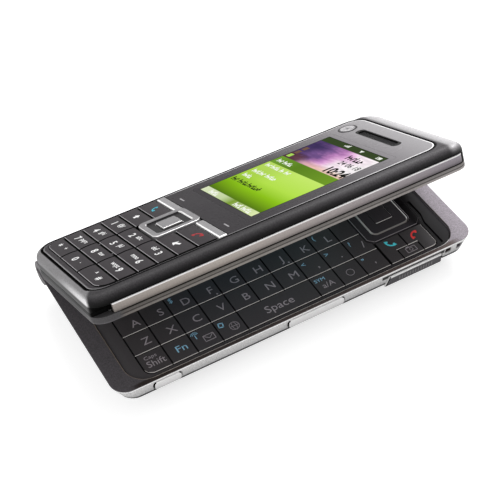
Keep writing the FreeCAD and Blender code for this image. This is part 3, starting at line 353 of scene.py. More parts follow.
def faceplate_edge():
    """The polished outer edge of the faceplate, with its highlight painted in: bright at both ends and along the far
    edge, dull along the keypad.
    """
    item = Finish("faceplate_edge", "lid", (5.0, 0.2, 2e-6))
    colour = item.ramp(item.x, -55.0, 50.0, (0.0, (0.26, 0.255)), (0.015, (0.26, 0.255)), (0.04, (0.06, 0.056)),
            (0.5, (0.08, 0.075)), (0.75, (0.55, 0.54)), (1.0, (0.9, 0.89)))
    colour = item.blend(colour, (0.75, 0.74), far_light(item))
    return item.done(colour, 0.2, 0.25, 0.1)


def strip_satin():
    """Champagne satin that cools to mauve towards the earpiece end, painted darker towards the bottom and lighter
    towards the top, with a near-white painted highlight along its upper edge.
    """
    item = Finish("strip_satin", "lid", (2.8, 0.5, 4e-6))
    body = item.ramp(item.x, -52.0, 53.0, (0.0, (0.27, 0.24, 0.22)), (0.3, (0.36, 0.32, 0.29)),
            (0.6, (0.31, 0.275, 0.27)), (1.0, (0.24, 0.215)))
    # painted shade and light: darker towards the bottom, lighter towards the top
    across = item.ramp(item.z, 12.75, 15.35, (0.0, 0.35), (0.15, 0.62), (0.35, 0.95), (0.6, 1.1), (1.0, 1.35))
    mixed = item.node("ShaderNodeVectorMath", {0: body, 1: across}, operation="MULTIPLY")[0]
    # painted highlight along the upper edge
    edge = item.step(item.z, 14.85, 15.05)
    return item.done(item.blend(mixed, (0.86, 0.85, 0.85), edge), 0.3, 0.32, 0.08, Metallic=0.4)


def frame_metal():
    """Satin mauve metal on top, dark bronze on the near rim and bright silver along the near side; painted shade
    darkens the other sides and, partly, the top towards the left end under the lid, and a painted highlight runs
    along the band's upper edge.
    """
    item = Finish("frame_metal", "base", (2.8, 1.1, 6e-6))
    # the top darkens towards the left end, partly a painted shadow under the lid
    top = item.ramp(item.x, -56.5, 56.5, (0.0, (0.085, 0.078, 0.084)), (0.4, (0.1, 0.094)), (0.9, (0.24, 0.215)),
            (1.0, (0.28, 0.25)))
    rim = item.times(item.step(item.y, -24.9, -25.4), item.step(item.x, 52.5, 48.0))
    rim = item.times(rim, item.step(item.x, -52.5, -49.0))
    top = item.blend(top, item.ramp(item.x, -50.0, 50.0, (0.0, (0.03, 0.024, 0.022)), (1.0, (0.1, 0.075, 0.07))),
            rim)
    corner = item.times(item.step(item.y, -20.5, -24.0), item.step(item.x, -46.0, -49.0))
    corner = item.most(corner, item.step(item.minus(item.x, item.y), 77.3, 78.5))
    near = item.most(item.step(item.y, -25.7, -26.2), corner)
    band = item.times(near, item.step(item.z, FRAME_TOP - 0.06, FRAME_TOP - 0.2))
    # silver band: black along the bottom, darker towards the bottom, and near-white at the top as a painted
    # highlight along its upper edge
    silver = item.ramp(item.z, 6.2, FRAME_TOP, (0.0, 0.008), (0.17, 0.008), (0.21, 0.45), (0.6, (0.62, 0.61, 0.61)),
            (0.86, (0.68, 0.67, 0.67)), (0.9, 0.94), (1.0, 0.95))
    over_flap = item.times(item.between(item.x, 25.0, 46.0), item.between(item.z, 8.5, 9.75))
    silver = item.blend(silver, 0.008, over_flap)
    # painted shade: the surfaces below the top take a darker copy of the top's colour
    sides = item.blend(top, item.tint(top, 0.55), item.step(item.z, FRAME_TOP - 0.1, FRAME_TOP - 0.4))
    return item.done(item.blend(sides, silver, band), 0.12, 0.36, 0.1, Metallic=0.1)


def recess_edge():
    """The eased edge of the keyboard recess: bright along the near side, a painted highlight that grows towards the
    right end, and bronze elsewhere.
    """
    item = Finish("recess_edge", "base", (5.0, 0.2, 3e-6))
    # painted highlight along the near side, brighter towards the right end
    near = item.step(item.y, -24.0, -24.8)
    along = item.ramp(item.x, -50.0, 52.0, (0.0, (0.3, 0.25, 0.21)), (0.1, (0.55, 0.49, 0.45)),
            (0.8, (0.6, 0.54, 0.5)), (0.95, (0.85, 0.84, 0.83)), (1.0, (0.8, 0.79, 0.79)))
    sides = item.blend((0.26, 0.21, 0.17), (0.05, 0.042, 0.04), item.step(item.x, 40.0, 48.0))
    colour = item.blend(sides, along, near)
    return item.done(colour, 0.1, 0.3, 0.08)


def flap_plastic():
    """Fine-grained dark plastic with a painted highlight along its upper edge, and darker along its lower edge."""
    item = Finish("flap_plastic", "base", (3.2, 0.8, 6e-6))
    colour = item.ramp(item.z, 5.2, 8.7, (0.0, (0.015, 0.014)), (0.1, (0.02, 0.019)), (0.2, (0.072, 0.069, 0.074)),
            (0.82, (0.085, 0.082, 0.088)), (0.86, (0.85, 0.84, 0.84)), (1.0, (0.95, 0.94, 0.94)))
    return item.done(colour, 0.1, 0.42, 0.1)


def side_silver():
    """Bright satin of the two side keys, the same as the band around them."""
    item = Finish("side_silver", "base", (4.0, 0.35, 5e-6))
    colour = item.ramp(item.z, 6.8, 9.6, (0.0, 0.5), (0.4, (0.68, 0.67, 0.67)), (1.0, (0.8, 0.79, 0.79)))
    return item.done(colour, 0.5, 0.34, 0.1, Metallic=0.3)


def pad_steel():
    item = Finish("pad_steel", "lid")
    return item.finish(Base_Color=item.brushed((0.25, 14, 14), (0.17, 0.165)), Metallic=0.5, Specular_IOR_Level=0.3,
            Roughness=item.marks(0.3, 0.1))


def ring_steel():
    """Brushed steel of the lid's pad, with painted shade in the recess around the middle key."""
    item = Finish("ring_steel", "lid")
    recess = item.within(PAD_X - 5.45, PAD_X + 5.45, PAD_Y - 4.95, PAD_Y + 4.95)
    # painted shade in the recess around the middle key
    recess_painted_shade = item.times(recess, item.step(item.z, 19.3, 19.15))
    steel = item.brushed((0.25, 14, 14), (0.2, 0.195), 0.75, 1.25)
    return item.finish(Base_Color=item.blend(steel, (0.012, 0.011), recess_painted_shade), Specular_IOR_Level=0.05,
            Roughness=item.marks(0.3, 0.1))


def softkey_steel():
    """Brushed steel with a polished left edge and near end whose highlight is painted in."""
    item = Finish("softkey_steel", "lid")
    # painted highlight along the left edge and near end
    edge = item.most(item.step(item.x, -18.2, -18.35), item.step(item.y, -22.3, -22.5))
    steel = item.brushed((14, 0.25, 14), (0.24, 0.235))
    return item.finish(Base_Color=item.blend(steel, (0.9, 0.89, 0.89), edge), Specular_IOR_Level=0.08,
            Roughness=item.marks(0.3, 0.1))


def dial_plastic():
    """Dial key plastic, shaded along the right edge of each row of keys."""
    item = Finish("dial_key_plastic", "lid", (5.0, 0.45, 4e-6))
    rows = item.math("MODULO", item.minus(item.x, DIAL_LEFT), DIAL_PITCH)
    calls = item.math("MODULO", item.minus(item.x, CALL_LEFT), CALL_PITCH)
    past = item.step(item.x, CALL_LEFT - 0.1, CALL_LEFT)
    on_rows = item.times(item.step(rows, DIAL_PITCH - 0.62, DIAL_PITCH - 0.5), item.minus(1.0, past))
    on_calls = item.times(item.step(calls, CALL_PITCH - 0.62, CALL_PITCH - 0.5), past)
    shade = item.math("ADD", on_rows, on_calls)
    colour = item.blend((0.026, 0.022, 0.025), (0.006, 0.005), shade)
    return item.done(colour, 0.03, 0.3, 0.08)


def front_camera_glass():
    """Speckled silver disc of the lid's own camera, inside a dark rim."""
    item = Finish("front_camera_glass", "lid", (2.2, 2.2, 3e-6))
    reach = item.away_from(*FRONT_CAMERA_PLACE)
    colour = item.ramp(reach, 0.0, 3.0, (0.0, (0.16, 0.16, 0.17)), (0.3, (0.34, 0.33)), (0.68, (0.42, 0.41)),
            (0.8, (0.05, 0.045)), (1.0, (0.03, 0.028)))
    return item.done(colour, 0.05, 0.3, 0.1)


def lens_glass():
    """Dark lens glass with the rings of the lens barrel behind it."""
    item = Finish("lens_glass", "base", (5.0, 0.15, 1e-6))
    away = item.away_from(*LENS_PLACE)
    colour = item.ramp(away, 0.0, 3.4, (0.0, (0.01, 0.012, 0.03)), (0.28, (0.02, 0.02, 0.06)),
            (0.31, (0.3, 0.31, 0.34)), (0.36, (0.02, 0.02, 0.03)), (0.62, (0.012, 0.012, 0.02)),
            (0.65, (0.16, 0.16, 0.18)), (0.70, (0.008, 0.008, 0.01)), (1.0, (0.004, 0.004, 0.005)))
    return item.done(colour, 0.5, 0.08, 0.04)


def window_glass():
    """A clear window: light passes straight through and the front gives a soft reflection."""
    item = Finish("window_glass", "lid", (2.0, 0.2, 1e-6, 0.2))
    return item.finish(Base_Color=(0.01, 0.01, 0.012), Roughness=item.marks(0.05, 0.06), Alpha=0.04,
            Specular_IOR_Level=0.05)


def screen_colours():
    """The lit outer screen: status bar, banner of soft waves, lime list and a foot bar."""
    item = Finish("outer_screen", "lid")
    left, right, front, back = PICTURE
    lime = item.ramp(item.x, -4.3, 15.6, (0.0, (0.085, 0.18, 0.005)), (0.3, (0.26, 0.54, 0.008)),
            (0.55, (0.45, 0.75, 0.07)), (1.0, (0.56, 0.82, 0.15)))
    lime = item.tint(lime, item.step(item.math("MULTIPLY_ADD", item.x, 0.5, item.y), 14.0, 2.0, 0.86, 1.0))
    foot = item.ramp(item.y, front, back, (0.0, (0.75, 0.85, 0.45)), (0.45, (0.2, 0.34, 0.03)),
            (0.62, (0.55, 0.66, 0.36)), (1.0, (0.7, 0.78, 0.52)))
    belt = item.ramp(item.y, front, back, (0.0, (0.16, 0.32, 0.02)), (0.6, (0.1, 0.22, 0.012)),
            (1.0, (0.16, 0.34, 0.03)))
    swell = item.noise(0.16, (1.6, 0.7, 0))
    slope = item.math("MULTIPLY_ADD", item.x, 0.25, item.y)
    height = item.math("MULTIPLY_ADD", swell, 0.5, item.step(slope, 22.0, -12.0, -0.1, 0.72))
    banner = item.ramp(height, 0.15, 1.0, (0.0, (0.05, 0.03, 0.11)), (0.25, (0.16, 0.08, 0.24)), (0.45, (0.5, 0.22)),
            (0.62, (0.78, 0.45, 0.72)), (0.8, (0.93, 0.8, 0.88)), (1.0, (0.95, 0.93, 0.93)))
    peach = item.times(item.step(item.x, 23.6, 20.4), item.step(item.y, 12.0, -4.0))
    banner = item.blend(banner, (0.8, 0.5, 0.36), item.times(peach, 0.8))
    crag = item.times(item.step(item.math("MULTIPLY_ADD", swell, 9.0, item.x), 29.5, 27.0),
            item.step(item.y, 3.0, 8.0))
    banner = item.blend(banner, (0.1, 0.035, 0.04), item.times(crag, 0.85))
    ripple = item.noise(0.9, (1.0, 0.25, 0), 2.0)
    banner = item.tint(banner, item.step(ripple, 0.3, 0.7, 0.88, 1.1))
    colour = foot
    for tone, edge in ((lime, -4.3), (belt, 15.6), (banner, 20.0), ((0.035, 0.06, 0.018), 33.0)):
        colour = item.blend(colour, tone, item.step(item.x, edge - 0.1, edge + 0.1))
    inside = item.within(left, right, front, back)
    rim = item.within(left - 0.2, right + 0.2, front - 0.2, back + 0.2)
    lit = item.blend(0.0, colour, inside)
    plate = item.blend(item.tint(face_colours(item), 1.05), 1.0, 0.03)
    around = item.blend(plate, 0.004, rim)
    return item.finish(Base_Color=item.blend(around, 0.003, inside), Emission_Color=lit, Emission_Strength=1.0,
            Specular_IOR_Level=0.0, Roughness=item.marks(0.3, 0.05))


def inner_screen_colours():
    """The wide inner screen: a calm blue-green wash with slow folds."""
    item = Finish("inner_screen", "lid")
    folds = item.noise(0.06, (1.0, 1.8, 0))
    colour = item.ramp(item.math("MULTIPLY_ADD", item.x, 0.006, folds), 0.15, 0.85, (0.0, (0.02, 0.07, 0.13)),
            (0.5, (0.05, 0.2, 0.28)), (0.8, (0.25, 0.5, 0.52)), (1.0, (0.6, 0.78, 0.75)))
    inside = item.within(*INNER_PICTURE)
    return item.finish(Base_Color=(0.004, 0.004, 0.005), Emission_Color=item.blend(0.0, colour, inside),
            Emission_Strength=0.8, Specular_IOR_Level=0.2, Roughness=item.marks(0.2, 0.05))


def panel_gloss():
    """Near-black gloss that is a little lighter at the two ends of the recess, with a band of painted shade in the
    channel just right of the base's ring.
    """
    item = Finish("panel_gloss", "base", (5.0, 0.25, 3e-6))
    # the near-black stops just right of the base's ring are painted shade in the channel there
    colour = item.ramp(item.x, -51.0, 52.0, (0.0, (0.075, 0.07, 0.073)), (0.06, (0.056, 0.051, 0.053)),
            (0.75, (0.04, 0.036, 0.039)), (0.90, (0.046, 0.041)), (0.93, (0.006, 0.005)), (0.955, (0.006, 0.005)),
            (1.0, (0.014, 0.012)))
    return item.done(colour, 0.05, 0.25, 0.08)


def chrome_colours(item):
    """Polished edge of the base's ring, its reflection painted in: bright at its sides, dull where it faces the
    user.
    """
    near = item.step(item.y, -10.9, -11.7)
    right = item.step(item.x, 40.0, 43.5)
    return item.blend(item.blend((0.5, 0.48, 0.46), (0.98, 0.98, 0.97), right), (0.24, 0.22, 0.21), near)


def chrome_line():
    item = Finish("chrome_line", "base", (4.0, 0.15, 2e-6))
    return item.done(chrome_colours(item), 0.3, 0.18, 0.05)


def base_ring_gloss():
    """Dark gloss of the base's ring inside a polished outer line whose reflection is painted in."""
    item = Finish("base_ring_gloss", "base", (4.0, 0.3, 3e-6))
    line = item.step(item.beyond(BASE_RING_BOX, 2.0), -0.5, -0.38)
    colour = item.blend((0.046, 0.041, 0.045), chrome_colours(item), line)
    return item.done(colour, 0.1, 0.22, 0.06)


def ribbed_rear():
    """Rear plastic with a fine leather-like moulded texture."""
    item = Finish("rear_texture")
    item.bump(item.node("ShaderNodeTexVoronoi", {"Vector": item.place, "Scale": 2.2})["Distance"], 4e-5, 0.5)
    item.speckle = item.group(GRAIN, Scale=4.0, Amount=0.3)["Speckle"]
    return item.done((0.03, 0.028, 0.031), 0.3, 0.5, 0.1)


def plain(name, colour, where="base", roughness=0.4, specular=0.3, scale=3.0, speckle=0.15, relief=4e-6,
        metallic=0.0, coat=0.0):
    """A finish of one colour with fine grain and handling marks."""
    item = Finish(name, where, (scale, speckle, relief))
    return item.done(colour, specular, roughness - 0.04, 0.08, Metallic=metallic, Coat_Weight=coat,
            Coat_Roughness=0.08)


def lit_print(name, colour):
    """A lit part of the outer screen."""
    item = Finish(name, "lid")
    glow = item.tint(colour, item.group(GRAIN, Scale=6.0, Amount=0.1)["Speckle"])
    return item.finish(Base_Color=0.004, Emission_Color=glow, Emission_Strength=1.0, Specular_IOR_Level=0.0,
            Roughness=0.3)


# finishes by slot, or by another name for nodes that have a finish of their own
FINISHES = {
    "lid_shell": lid_shell_paint(),
    "faceplate": faceplate_gloss(),
    "strip": strip_satin(),
    "frame": frame_metal(),
    "window": window_glass(),
    "panel": panel_gloss(),
    "display": screen_colours(),
    "inner_display": inner_screen_colours(),
    "rear": ribbed_rear(),
    "side_keys": side_silver(),
    "base_keys": plain("letter_key_plastic", (0.054, 0.049, 0.051), "base", 0.34, 0.15, 5.0, 0.4),
    "base_pad": plain("pad_gloss", (0.05, 0.044, 0.048), "base", 0.24, 0.15, 4.0, 0.3),
    "flap": flap_plastic(),
    "battery": plain("battery_wrap", (0.3, 0.31, 0.34), "base", 0.45),
    "board": plain("board_resist", (0.02, 0.16, 0.07), "base", 0.35, coat=0.3),
    "mat": plain("key_mat_rubber", (0.012, 0.012, 0.013), "base", 0.7, 0.1),
    "camera_trim": plain("turned_trim", (0.55, 0.55, 0.57), "base", 0.22, metallic=0.9),
    "camera_glass": lens_glass(),
    "fixings": plain("fixing_steel", (0.45, 0.45, 0.46), "base", 0.3, metallic=0.9),
    "steel": pad_steel(),
    "inner_cover": cover_satin(),
    "ring": ring_steel(),
    "base_ring": base_ring_gloss(),
    "front_camera": front_camera_glass(),
    "grille": plain("grille_cloth", 0.004, "lid", 0.6, 0.02, 9.0, relief=3e-5),
    "bumper": plain("bumper_rubber", 0.02, "lid", 0.75),
    "lid_keys": dial_plastic(),
    "softkey": softkey_steel(),
}
OWN_FINISH = {"lid_nav_ring": "ring", "front_camera": "front_camera", "outer_window": "display",
        "softkey_near": "softkey", "softkey_far": "softkey", "base_nav_ring": "base_ring"}
EDGES = {
    "faceplate": faceplate_edge(),
    "recess": recess_edge(),
    "chrome": chrome_line(),
    # painted highlight on the dial keys' left-facing eased edges
    "dial": plain("dial_key_edge", (0.3, 0.29), "lid", 0.3, 0.1),
    "dial_gap": plain("dial_key_shade", 0.004, "lid", 0.6, 0.02),
    "letter_gap": plain("letter_key_shade", 0.008, "base", 0.6, 0.02),
    # painted highlight on the eased edges of the lid's steel pad, middle key and soft keys
    "steel": plain("steel_edge", (0.86, 0.85, 0.85), "lid", 0.2, metallic=0.5),
    # painted highlight on the near eased edges of the letter keys, and the near and right ones of the base's end key
    "letter": plain("letter_key_edge", (0.6, 0.57, 0.55), "base", 0.3, 0.2),
    # painted highlight on the near and right eased edges of the base's middle key
    "pad": plain("pad_edge", (0.6, 0.57, 0.55), "base", 0.25),
    # painted highlight on the near and left eased edges of the keyboard's raised surround
    "rim": plain("rim_edge", (0.26, 0.24, 0.25), "base", 0.3, 0.2),
    # painted highlight along the top of the card flap
    "flap": plain("flap_edge", (0.95, 0.94, 0.94), "base", 0.3, 0.1),
    "flap_rib": plain("flap_rib", (0.17, 0.165), "base", 0.4, 0.1),
    # black of the joint round the faceplate, also used as painted shade on the lid shell's far roll
    "gap": plain("gap_black_and_roll_shade", 0.003, "lid", 0.6, 0.0),
    "tongue": plain("socket_tongue", (0.01, 0.01, 0.011), "base", 0.5, 0.2),
    "gold": plain("contact_gold", (0.72, 0.5, 0.18), "base", 0.3, metallic=0.9),
    "mesh_bar": plain("mesh_bar", (0.035, 0.034, 0.036), "lid", 0.5, 0.1),
    "door_rib": plain("door_rib", (0.05, 0.048, 0.052), "base", 0.5, 0.2),
    "nub": plain("key_nub", (0.09, 0.085), "lid", 0.4, 0.05),
    # painted shade: the dark cross stands for the screw heads' cross recesses
    "screw_cross": plain("screw_cross", (0.02, 0.02, 0.021), "base", 0.5, 0.2),
}
PRINTS = {name: plain(name, colour, where, 0.5, specular) for name, colour, where, specular in (
    ("white_print", 0.72, "lid", 0.2), ("dim_print", (0.3, 0.29), "lid", 0.2),
    ("cyan_print", (0.05, 0.36, 0.46), "lid", 0.05), ("red_print", (0.3, 0.025, 0.03), "lid", 0.05),
    ("grey_print", (0.33, 0.295, 0.315), "base", 0.1), ("blue_print", (0.27, 0.53, 0.7), "base", 0.1),
    ("base_cyan_print", (0.1, 0.68, 0.76), "base", 0.1), ("base_red_print", (0.85, 0.06, 0.06), "base", 0.1))}
PRINTS.update({name: lit_print(name, colour) for name, colour in (
    ("screen_white", (0.92, 0.95, 0.88)), ("screen_black", (0.006, 0.007, 0.005)),
    ("screen_lime", (0.4, 0.7, 0.1)), ("screen_clay", (0.16, 0.09, 0.06)))})


# ---------------------------------------------------------------- dressing the solids

SLOTS = {part["node"]: part["material_slot"] for part in frame["record"]["subparts"]}
BODIES = {node: body for body, nodes in frame["record"]["behaviour"]["bodies"].items() for node in nodes}


def place_of(node):
    """The lid's pieces are drawn closed and stand open; the others stand as they are drawn."""
    return LID_PLACE if BODIES[node].startswith(("lid", "softkey")) else BASE_PLACE


def new_piece(name, mesh, body, slot, *finishes):
    item = show(bpy.data.objects.new(name, mesh))
    for finish in finishes:
        mesh.materials.append(finish)
    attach(item, body)
    return item


def mesh_from(form, name, place):
    """The form as a mesh, moved from millimetres of the closed phone to where it stands."""
    bmesh.ops.transform(form, matrix=place, verts=form.verts)
    mesh = bpy.data.meshes.new(name)
    form.to_mesh(mesh)
    form.free()
    return mesh


def plain_mesh(item):
    """What an object's modifiers, nodes or letters make, as a mesh of its own."""
    return bpy.data.meshes.new_from_object(item.evaluated_get(bpy.context.evaluated_depsgraph_get()))


def outline_distance(point, box, corner):
    """How far a point lies outside a rounded box, in the plane of the lid or base."""
    left, right, front, back = box
    across = abs(point.x - (left + right) / 2) - (right - left) / 2 + corner
    along = abs(point.y - (front + back) / 2) - (back - front) / 2 + corner
    return math.hypot(max(across, 0), max(along, 0)) + min(max(across, along), 0) - corner


def ease(form, edges, width, segments):
    bmesh.ops.bevel(form, geom=edges, offset=width, offset_type="OFFSET", segments=segments, profile=0.5,
            affect="EDGES", clamp_overlap=False)
    form.normal_update()


def is_upper_right(edge):
    """Whether an edge runs along the top right of a key."""
    facing = edge.link_faces[0].normal + edge.link_faces[1].normal
    return facing.z > 0.5 and facing.x > 0.7


FLAT_ANGLE = math.radians(0.6)
SHARP_ANGLE = math.radians(28)
SMOOTH_ANGLE = math.radians(50)
KEY_CHAMFER = 0.45


def is_eased(edge, node):
    """Whether an edge is sharp and isn't one that its node keeps as it is."""
    if not edge.is_manifold or edge.calc_face_angle(0) <= SHARP_ANGLE:
        return False
    if node == "faceplate":
        return outline_distance((edge.verts[0].co + edge.verts[1].co) / 2, FACE_BOX, FACE_CORNER) > -0.5
    if SLOTS[node] == "lid_keys":
        return not is_upper_right(edge) and sum(face.normal.x for face in edge.link_faces) < 0.5
    return True


def softened_form(node, width, segments):
    """The node's own shape, merged and in millimetres of the closed phone, with its edges eased."""
    form = bmesh.new()
    form.from_mesh(frame["nodes"][node].data)
    bmesh.ops.remove_doubles(form, verts=form.verts, dist=1e-7)
    bmesh.ops.transform(form, matrix=place_of(node).inverted(), verts=form.verts)
    bmesh.ops.dissolve_limit(form, angle_limit=FLAT_ANGLE, verts=form.verts, edges=form.edges)
    form.normal_update()
    if SLOTS[node] == "lid_keys":
        ease(form, [edge for edge in form.edges if edge.is_manifold and is_upper_right(edge)], KEY_CHAMFER, 1)
    ease(form, [edge for edge in form.edges if is_eased(edge, node)], width, segments)
    for face in form.faces:
        face.smooth = True
    return form


def weighted_mesh(name, form, place):
    """The form as a mesh whose large faces shade flat and whose eased edges shade round."""
    draft = mesh_from(form, name, place)
    draft.set_sharp_from_angle(angle=SMOOTH_ANGLE)
    item = show(bpy.data.objects.new(name, draft))
    modifier = item.modifiers.new("weight", "WEIGHTED_NORMAL")
    modifier.keep_sharp = True
    modifier.weight = 90
    mesh = plain_mesh(item)
    bpy.data.objects.remove(item)
    bpy.data.meshes.remove(draft)
    return mesh


PAD_BOX = (PAD_X - 7.0, PAD_X + 7.0, PAD_Y - 6.5, PAD_Y + 6.5)
RECESS_BOX = (-50.6, 51.5, -25.2, 17.2)

# the faces that take an edge's finish, by the face's middle and the way it faces
PICKS = {
    "face_rim": lambda at, to: 0.2 < to.z < 0.98 and outline_distance(at, FACE_BOX, FACE_CORNER) > -0.4,
    "far_roll": lambda at, to: (at.y > FACE_BOX[3] + 0.3 and to.y > 0.05 and to.z > 0.4 and abs(at.x) < 48),
    "side": lambda at, to: -0.5 < to.z < 0.95,
    "side_end": lambda at, to: abs(to.x) > 0.35,
    "letter_edge": lambda at, to: 0.2 < to.z < 0.95 and to.y < -0.3,
    "pad_edge": lambda at, to: to.z > 0.2 and (
        abs(to.x) > 0.5 or (outline_distance(at, PAD_BOX, 2.0) > -0.8 and to.y < -0.3)),
    "left": lambda at, to: to.z > 0.45 and to.x < -0.3,
    "near_or_left": lambda at, to: to.z > 0.2 and (to.x < -0.3 or to.y < -0.3),
    "near_or_right": lambda at, to: to.z > 0.2 and (to.x > 0.3 or to.y < -0.3),
    "top": lambda at, to: to.z > 0.4,
    "ring_rim": lambda at, to: to.z > 0.1 and (abs(to.x) > 0.3 or to.y < -0.3) and (
        outline_distance(at, BASE_RING_BOX, 2.0) > -0.6),
    "recess_rim": lambda at, to: at.z > FRAME_TOP - 0.5 and 0.2 < to.z < 0.98 and (
        outline_distance(at, RECESS_BOX, 6.0) < 0.3),
    "surround_rim": lambda at, to: at.z > PANEL_TOP + 0.15 and to.z > 0.2 and (to.y < -0.3 or to.x < -0.3),
}

# node or slot: width of the eased edge, its segments, and the picked faces with a finish of their own
DRESSED = {
    # the shell's far roll takes the black of the gap as painted shade
    "lid_shell": (0.12, 2, ("far_roll", "gap")),
    "faceplate": (0.2, 2, ("face_rim", "faceplate")),
    "inner_cover": (0.15, 2),
    "side_strip": (0.2, 2),
    "base_frame": (0.26, 2, ("recess_rim", "recess")),
    "keyboard_panel": (0.12, 2, ("surround_rim", "rim")),
    "rear_housing": (0.15, 2),
    "battery_door": (0.12, 2),
    "card_flap": (0.2, 2, ("top", "flap"), ("side_end", "letter_gap")),
    "camera_ring": (0.3, 3),
    "lid_nav_ring": (0.24, 3, ("pad_edge", "steel")),
    "lid_select_key": (0.22, 3, ("near_or_left", "steel")),
    "softkey_near": (0.36, 3, ("near_or_left", "steel")),
    "softkey_far": (0.36, 3, ("near_or_left", "steel")),
    "base_nav_ring": (0.32, 3, ("ring_rim", "chrome")),
    "base_select_key": (0.2, 3, ("near_or_right", "pad")),
    "base_end_key": (0.16, 2, ("near_or_right", "letter"), ("side", "letter_gap")),
    "shutter_key": (0.14, 2, ("side_end", "letter_gap")),
    "volume_key": (0.14, 2, ("side_end", "letter_gap")),
    "front_camera": (0.15, 2),
    "base_keys": (0.12, 2, ("letter_edge", "letter"), ("side", "letter_gap")),
    "lid_keys": (0.2, 2, ("left", "dial"), ("side", "dial_gap")),
}

# the flap and the lid's keys are made a touch smaller than their solids, to clear what they move past
FLAP_TRIM = (0.975, 1.0, 1.0)
KEY_TRIM = (1.0, 0.995, 1.0)


def trim(form, node):
    if node == "card_flap" or ("key" in node and place_of(node) is LID_PLACE):
        spans = [(min(v.co[axis] for v in form.verts), max(v.co[axis] for v in form.verts)) for axis in range(3)]
        middle = Vector([(low + high) / 2 for low, high in spans])
        bmesh.ops.scale(form, vec=FLAP_TRIM if node == "card_flap" else KEY_TRIM,
                space=Matrix.Translation(-middle), verts=form.verts)


def finish_of(node):
    return FINISHES[OWN_FINISH.get(node, SLOTS[node])]


def dress(node, width, segments, *edges):
    form = softened_form(node, width, segments)
    trim(form, node)
    for face in form.faces:
        for index, (pick, _) in enumerate(edges):
            if PICKS[pick](face.calc_center_median(), face.normal):
                face.material_index = index + 1
                break
    name = node + "_dressed"
    mesh = weighted_mesh(name, form, place_of(node))
    item = new_piece(name, mesh, BODIES[node], SLOTS[node], finish_of(node), *(EDGES[edge] for _, edge in edges))
    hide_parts(node)


for node, slot in SLOTS.items():
    if node in DRESSED or slot in ("base_keys", "lid_keys"):
        dress(node, *DRESSED[node if node in DRESSED else slot])
    else:
        materials = frame["nodes"][node].data.materials
        materials.clear()
        materials.append(finish_of(node))


# ---------------------------------------------------------------- repeated details and the gap line

def repeat_tree(kind):
    """A grid of bars, studs or crosses; its sizes are named inputs, in millimetres."""
    tree = bpy.data.node_groups.new(kind + "_rows", "GeometryNodeTree")
    for name, socket in (("Reach X", "Float"), ("Reach Y", "Float"), ("Count X", "Int"), ("Count Y", "Int"),
            ("Size", "Vector"), ("Radius", "Float"), ("Finish", "Material")):
        tree.interface.new_socket(name, in_out="INPUT", socket_type="NodeSocket" + socket)
    tree.interface.new_socket("Geometry", in_out="OUTPUT", socket_type="NodeSocketGeometry")
    given = add_node(tree, "NodeGroupInput")
    grid = add_node(tree, "GeometryNodeMeshGrid", {
        "Size X": given["Reach X"], "Size Y": given["Reach Y"],
        "Vertices X": given["Count X"], "Vertices Y": given["Count Y"]})["Mesh"]
    if kind == "stud":
        depth = add_node(tree, "ShaderNodeSeparateXYZ", {0: given["Size"]})["Z"]
        shape = add_node(tree, "GeometryNodeMeshCylinder",
                {"Vertices": 12, "Radius": given["Radius"], "Depth": depth})["Mesh"]
    else:
        shape = add_node(tree, "GeometryNodeMeshCube", {"Size": given["Size"]})["Mesh"]
    if kind == "cross":
        turned = add_node(tree, "GeometryNodeTransform", {"Geometry": shape, "Rotation": (0, 0, math.pi / 2)})
        both = add_node(tree, "GeometryNodeJoinGeometry", {"Geometry": turned["Geometry"]})["Geometry"]
        tree.links.new(shape, both.node.inputs["Geometry"])
        shape = both
    placed = add_node(tree, "GeometryNodeInstanceOnPoints", {"Points": grid, "Instance": shape})["Instances"]
    real = add_node(tree, "GeometryNodeRealizeInstances", {"Geometry": placed})["Geometry"]
    painted = add_node(tree, "GeometryNodeSetMaterial", {"Geometry": real, "Material": given["Finish"]})
    add_node(tree, "NodeGroupOutput", {"Geometry": painted["Geometry"]})
    return tree


TREES = {kind: repeat_tree(kind) for kind in ("bar", "stud", "cross")}


def repeat(name, node, kind, centre, reach, count, size, finish):
    """Repeat a small shape over a grid on a node's body, as one plain mesh."""
    tree = TREES[kind]
    holder = show(bpy.data.objects.new(name + "_grid", bpy.data.meshes.new(name + "_grid")))
    modifier = holder.modifiers.new("rows", "NODES")
    modifier.node_group = tree
    values = {"Reach X": float(reach[0]), "Reach Y": float(reach[1]), "Count X": count[0], "Count Y": count[1],
            "Size": size, "Radius": size[0] / 2, "Finish": EDGES[finish]}
    for socket in tree.interface.items_tree:
        if socket.in_out == "INPUT":
            modifier[socket.identifier] = values[socket.name]
    mesh = plain_mesh(holder)
    holder.modifiers.remove(modifier)
    bpy.data.objects.remove(holder)
    mesh.transform(place_of(node) @ Matrix.Translation(centre))
    return new_piece(name, mesh, BODIES[node], SLOTS[node])


def rounded_outline(box, corner, offset, steps=8):
    """Points round a rounded box, moved outwards by an offset, with each point's outward y."""
    left, right, front, back = box
    points = []
    for x, y, start in ((right - corner, back - corner, 0), (left + corner, back - corner, 90),
            (left + corner, front + corner, 180), (right - corner, front + corner, 270)):
        for step in range(steps + 1):
            angle = math.radians(start + 90 * step / steps)
            reach = corner + offset(math.sin(angle))
            points.append((x + reach * math.cos(angle), y + reach * math.sin(angle), math.sin(angle)))
    return points


def skin(form, loops):
    """Side faces between each loop of points and the next."""
    for loop, following in loops:
        for index in range(len(loop)):
            after = (index + 1) % len(loop)
            form.faces.new((loop[index], following[index], following[after], loop[after]))


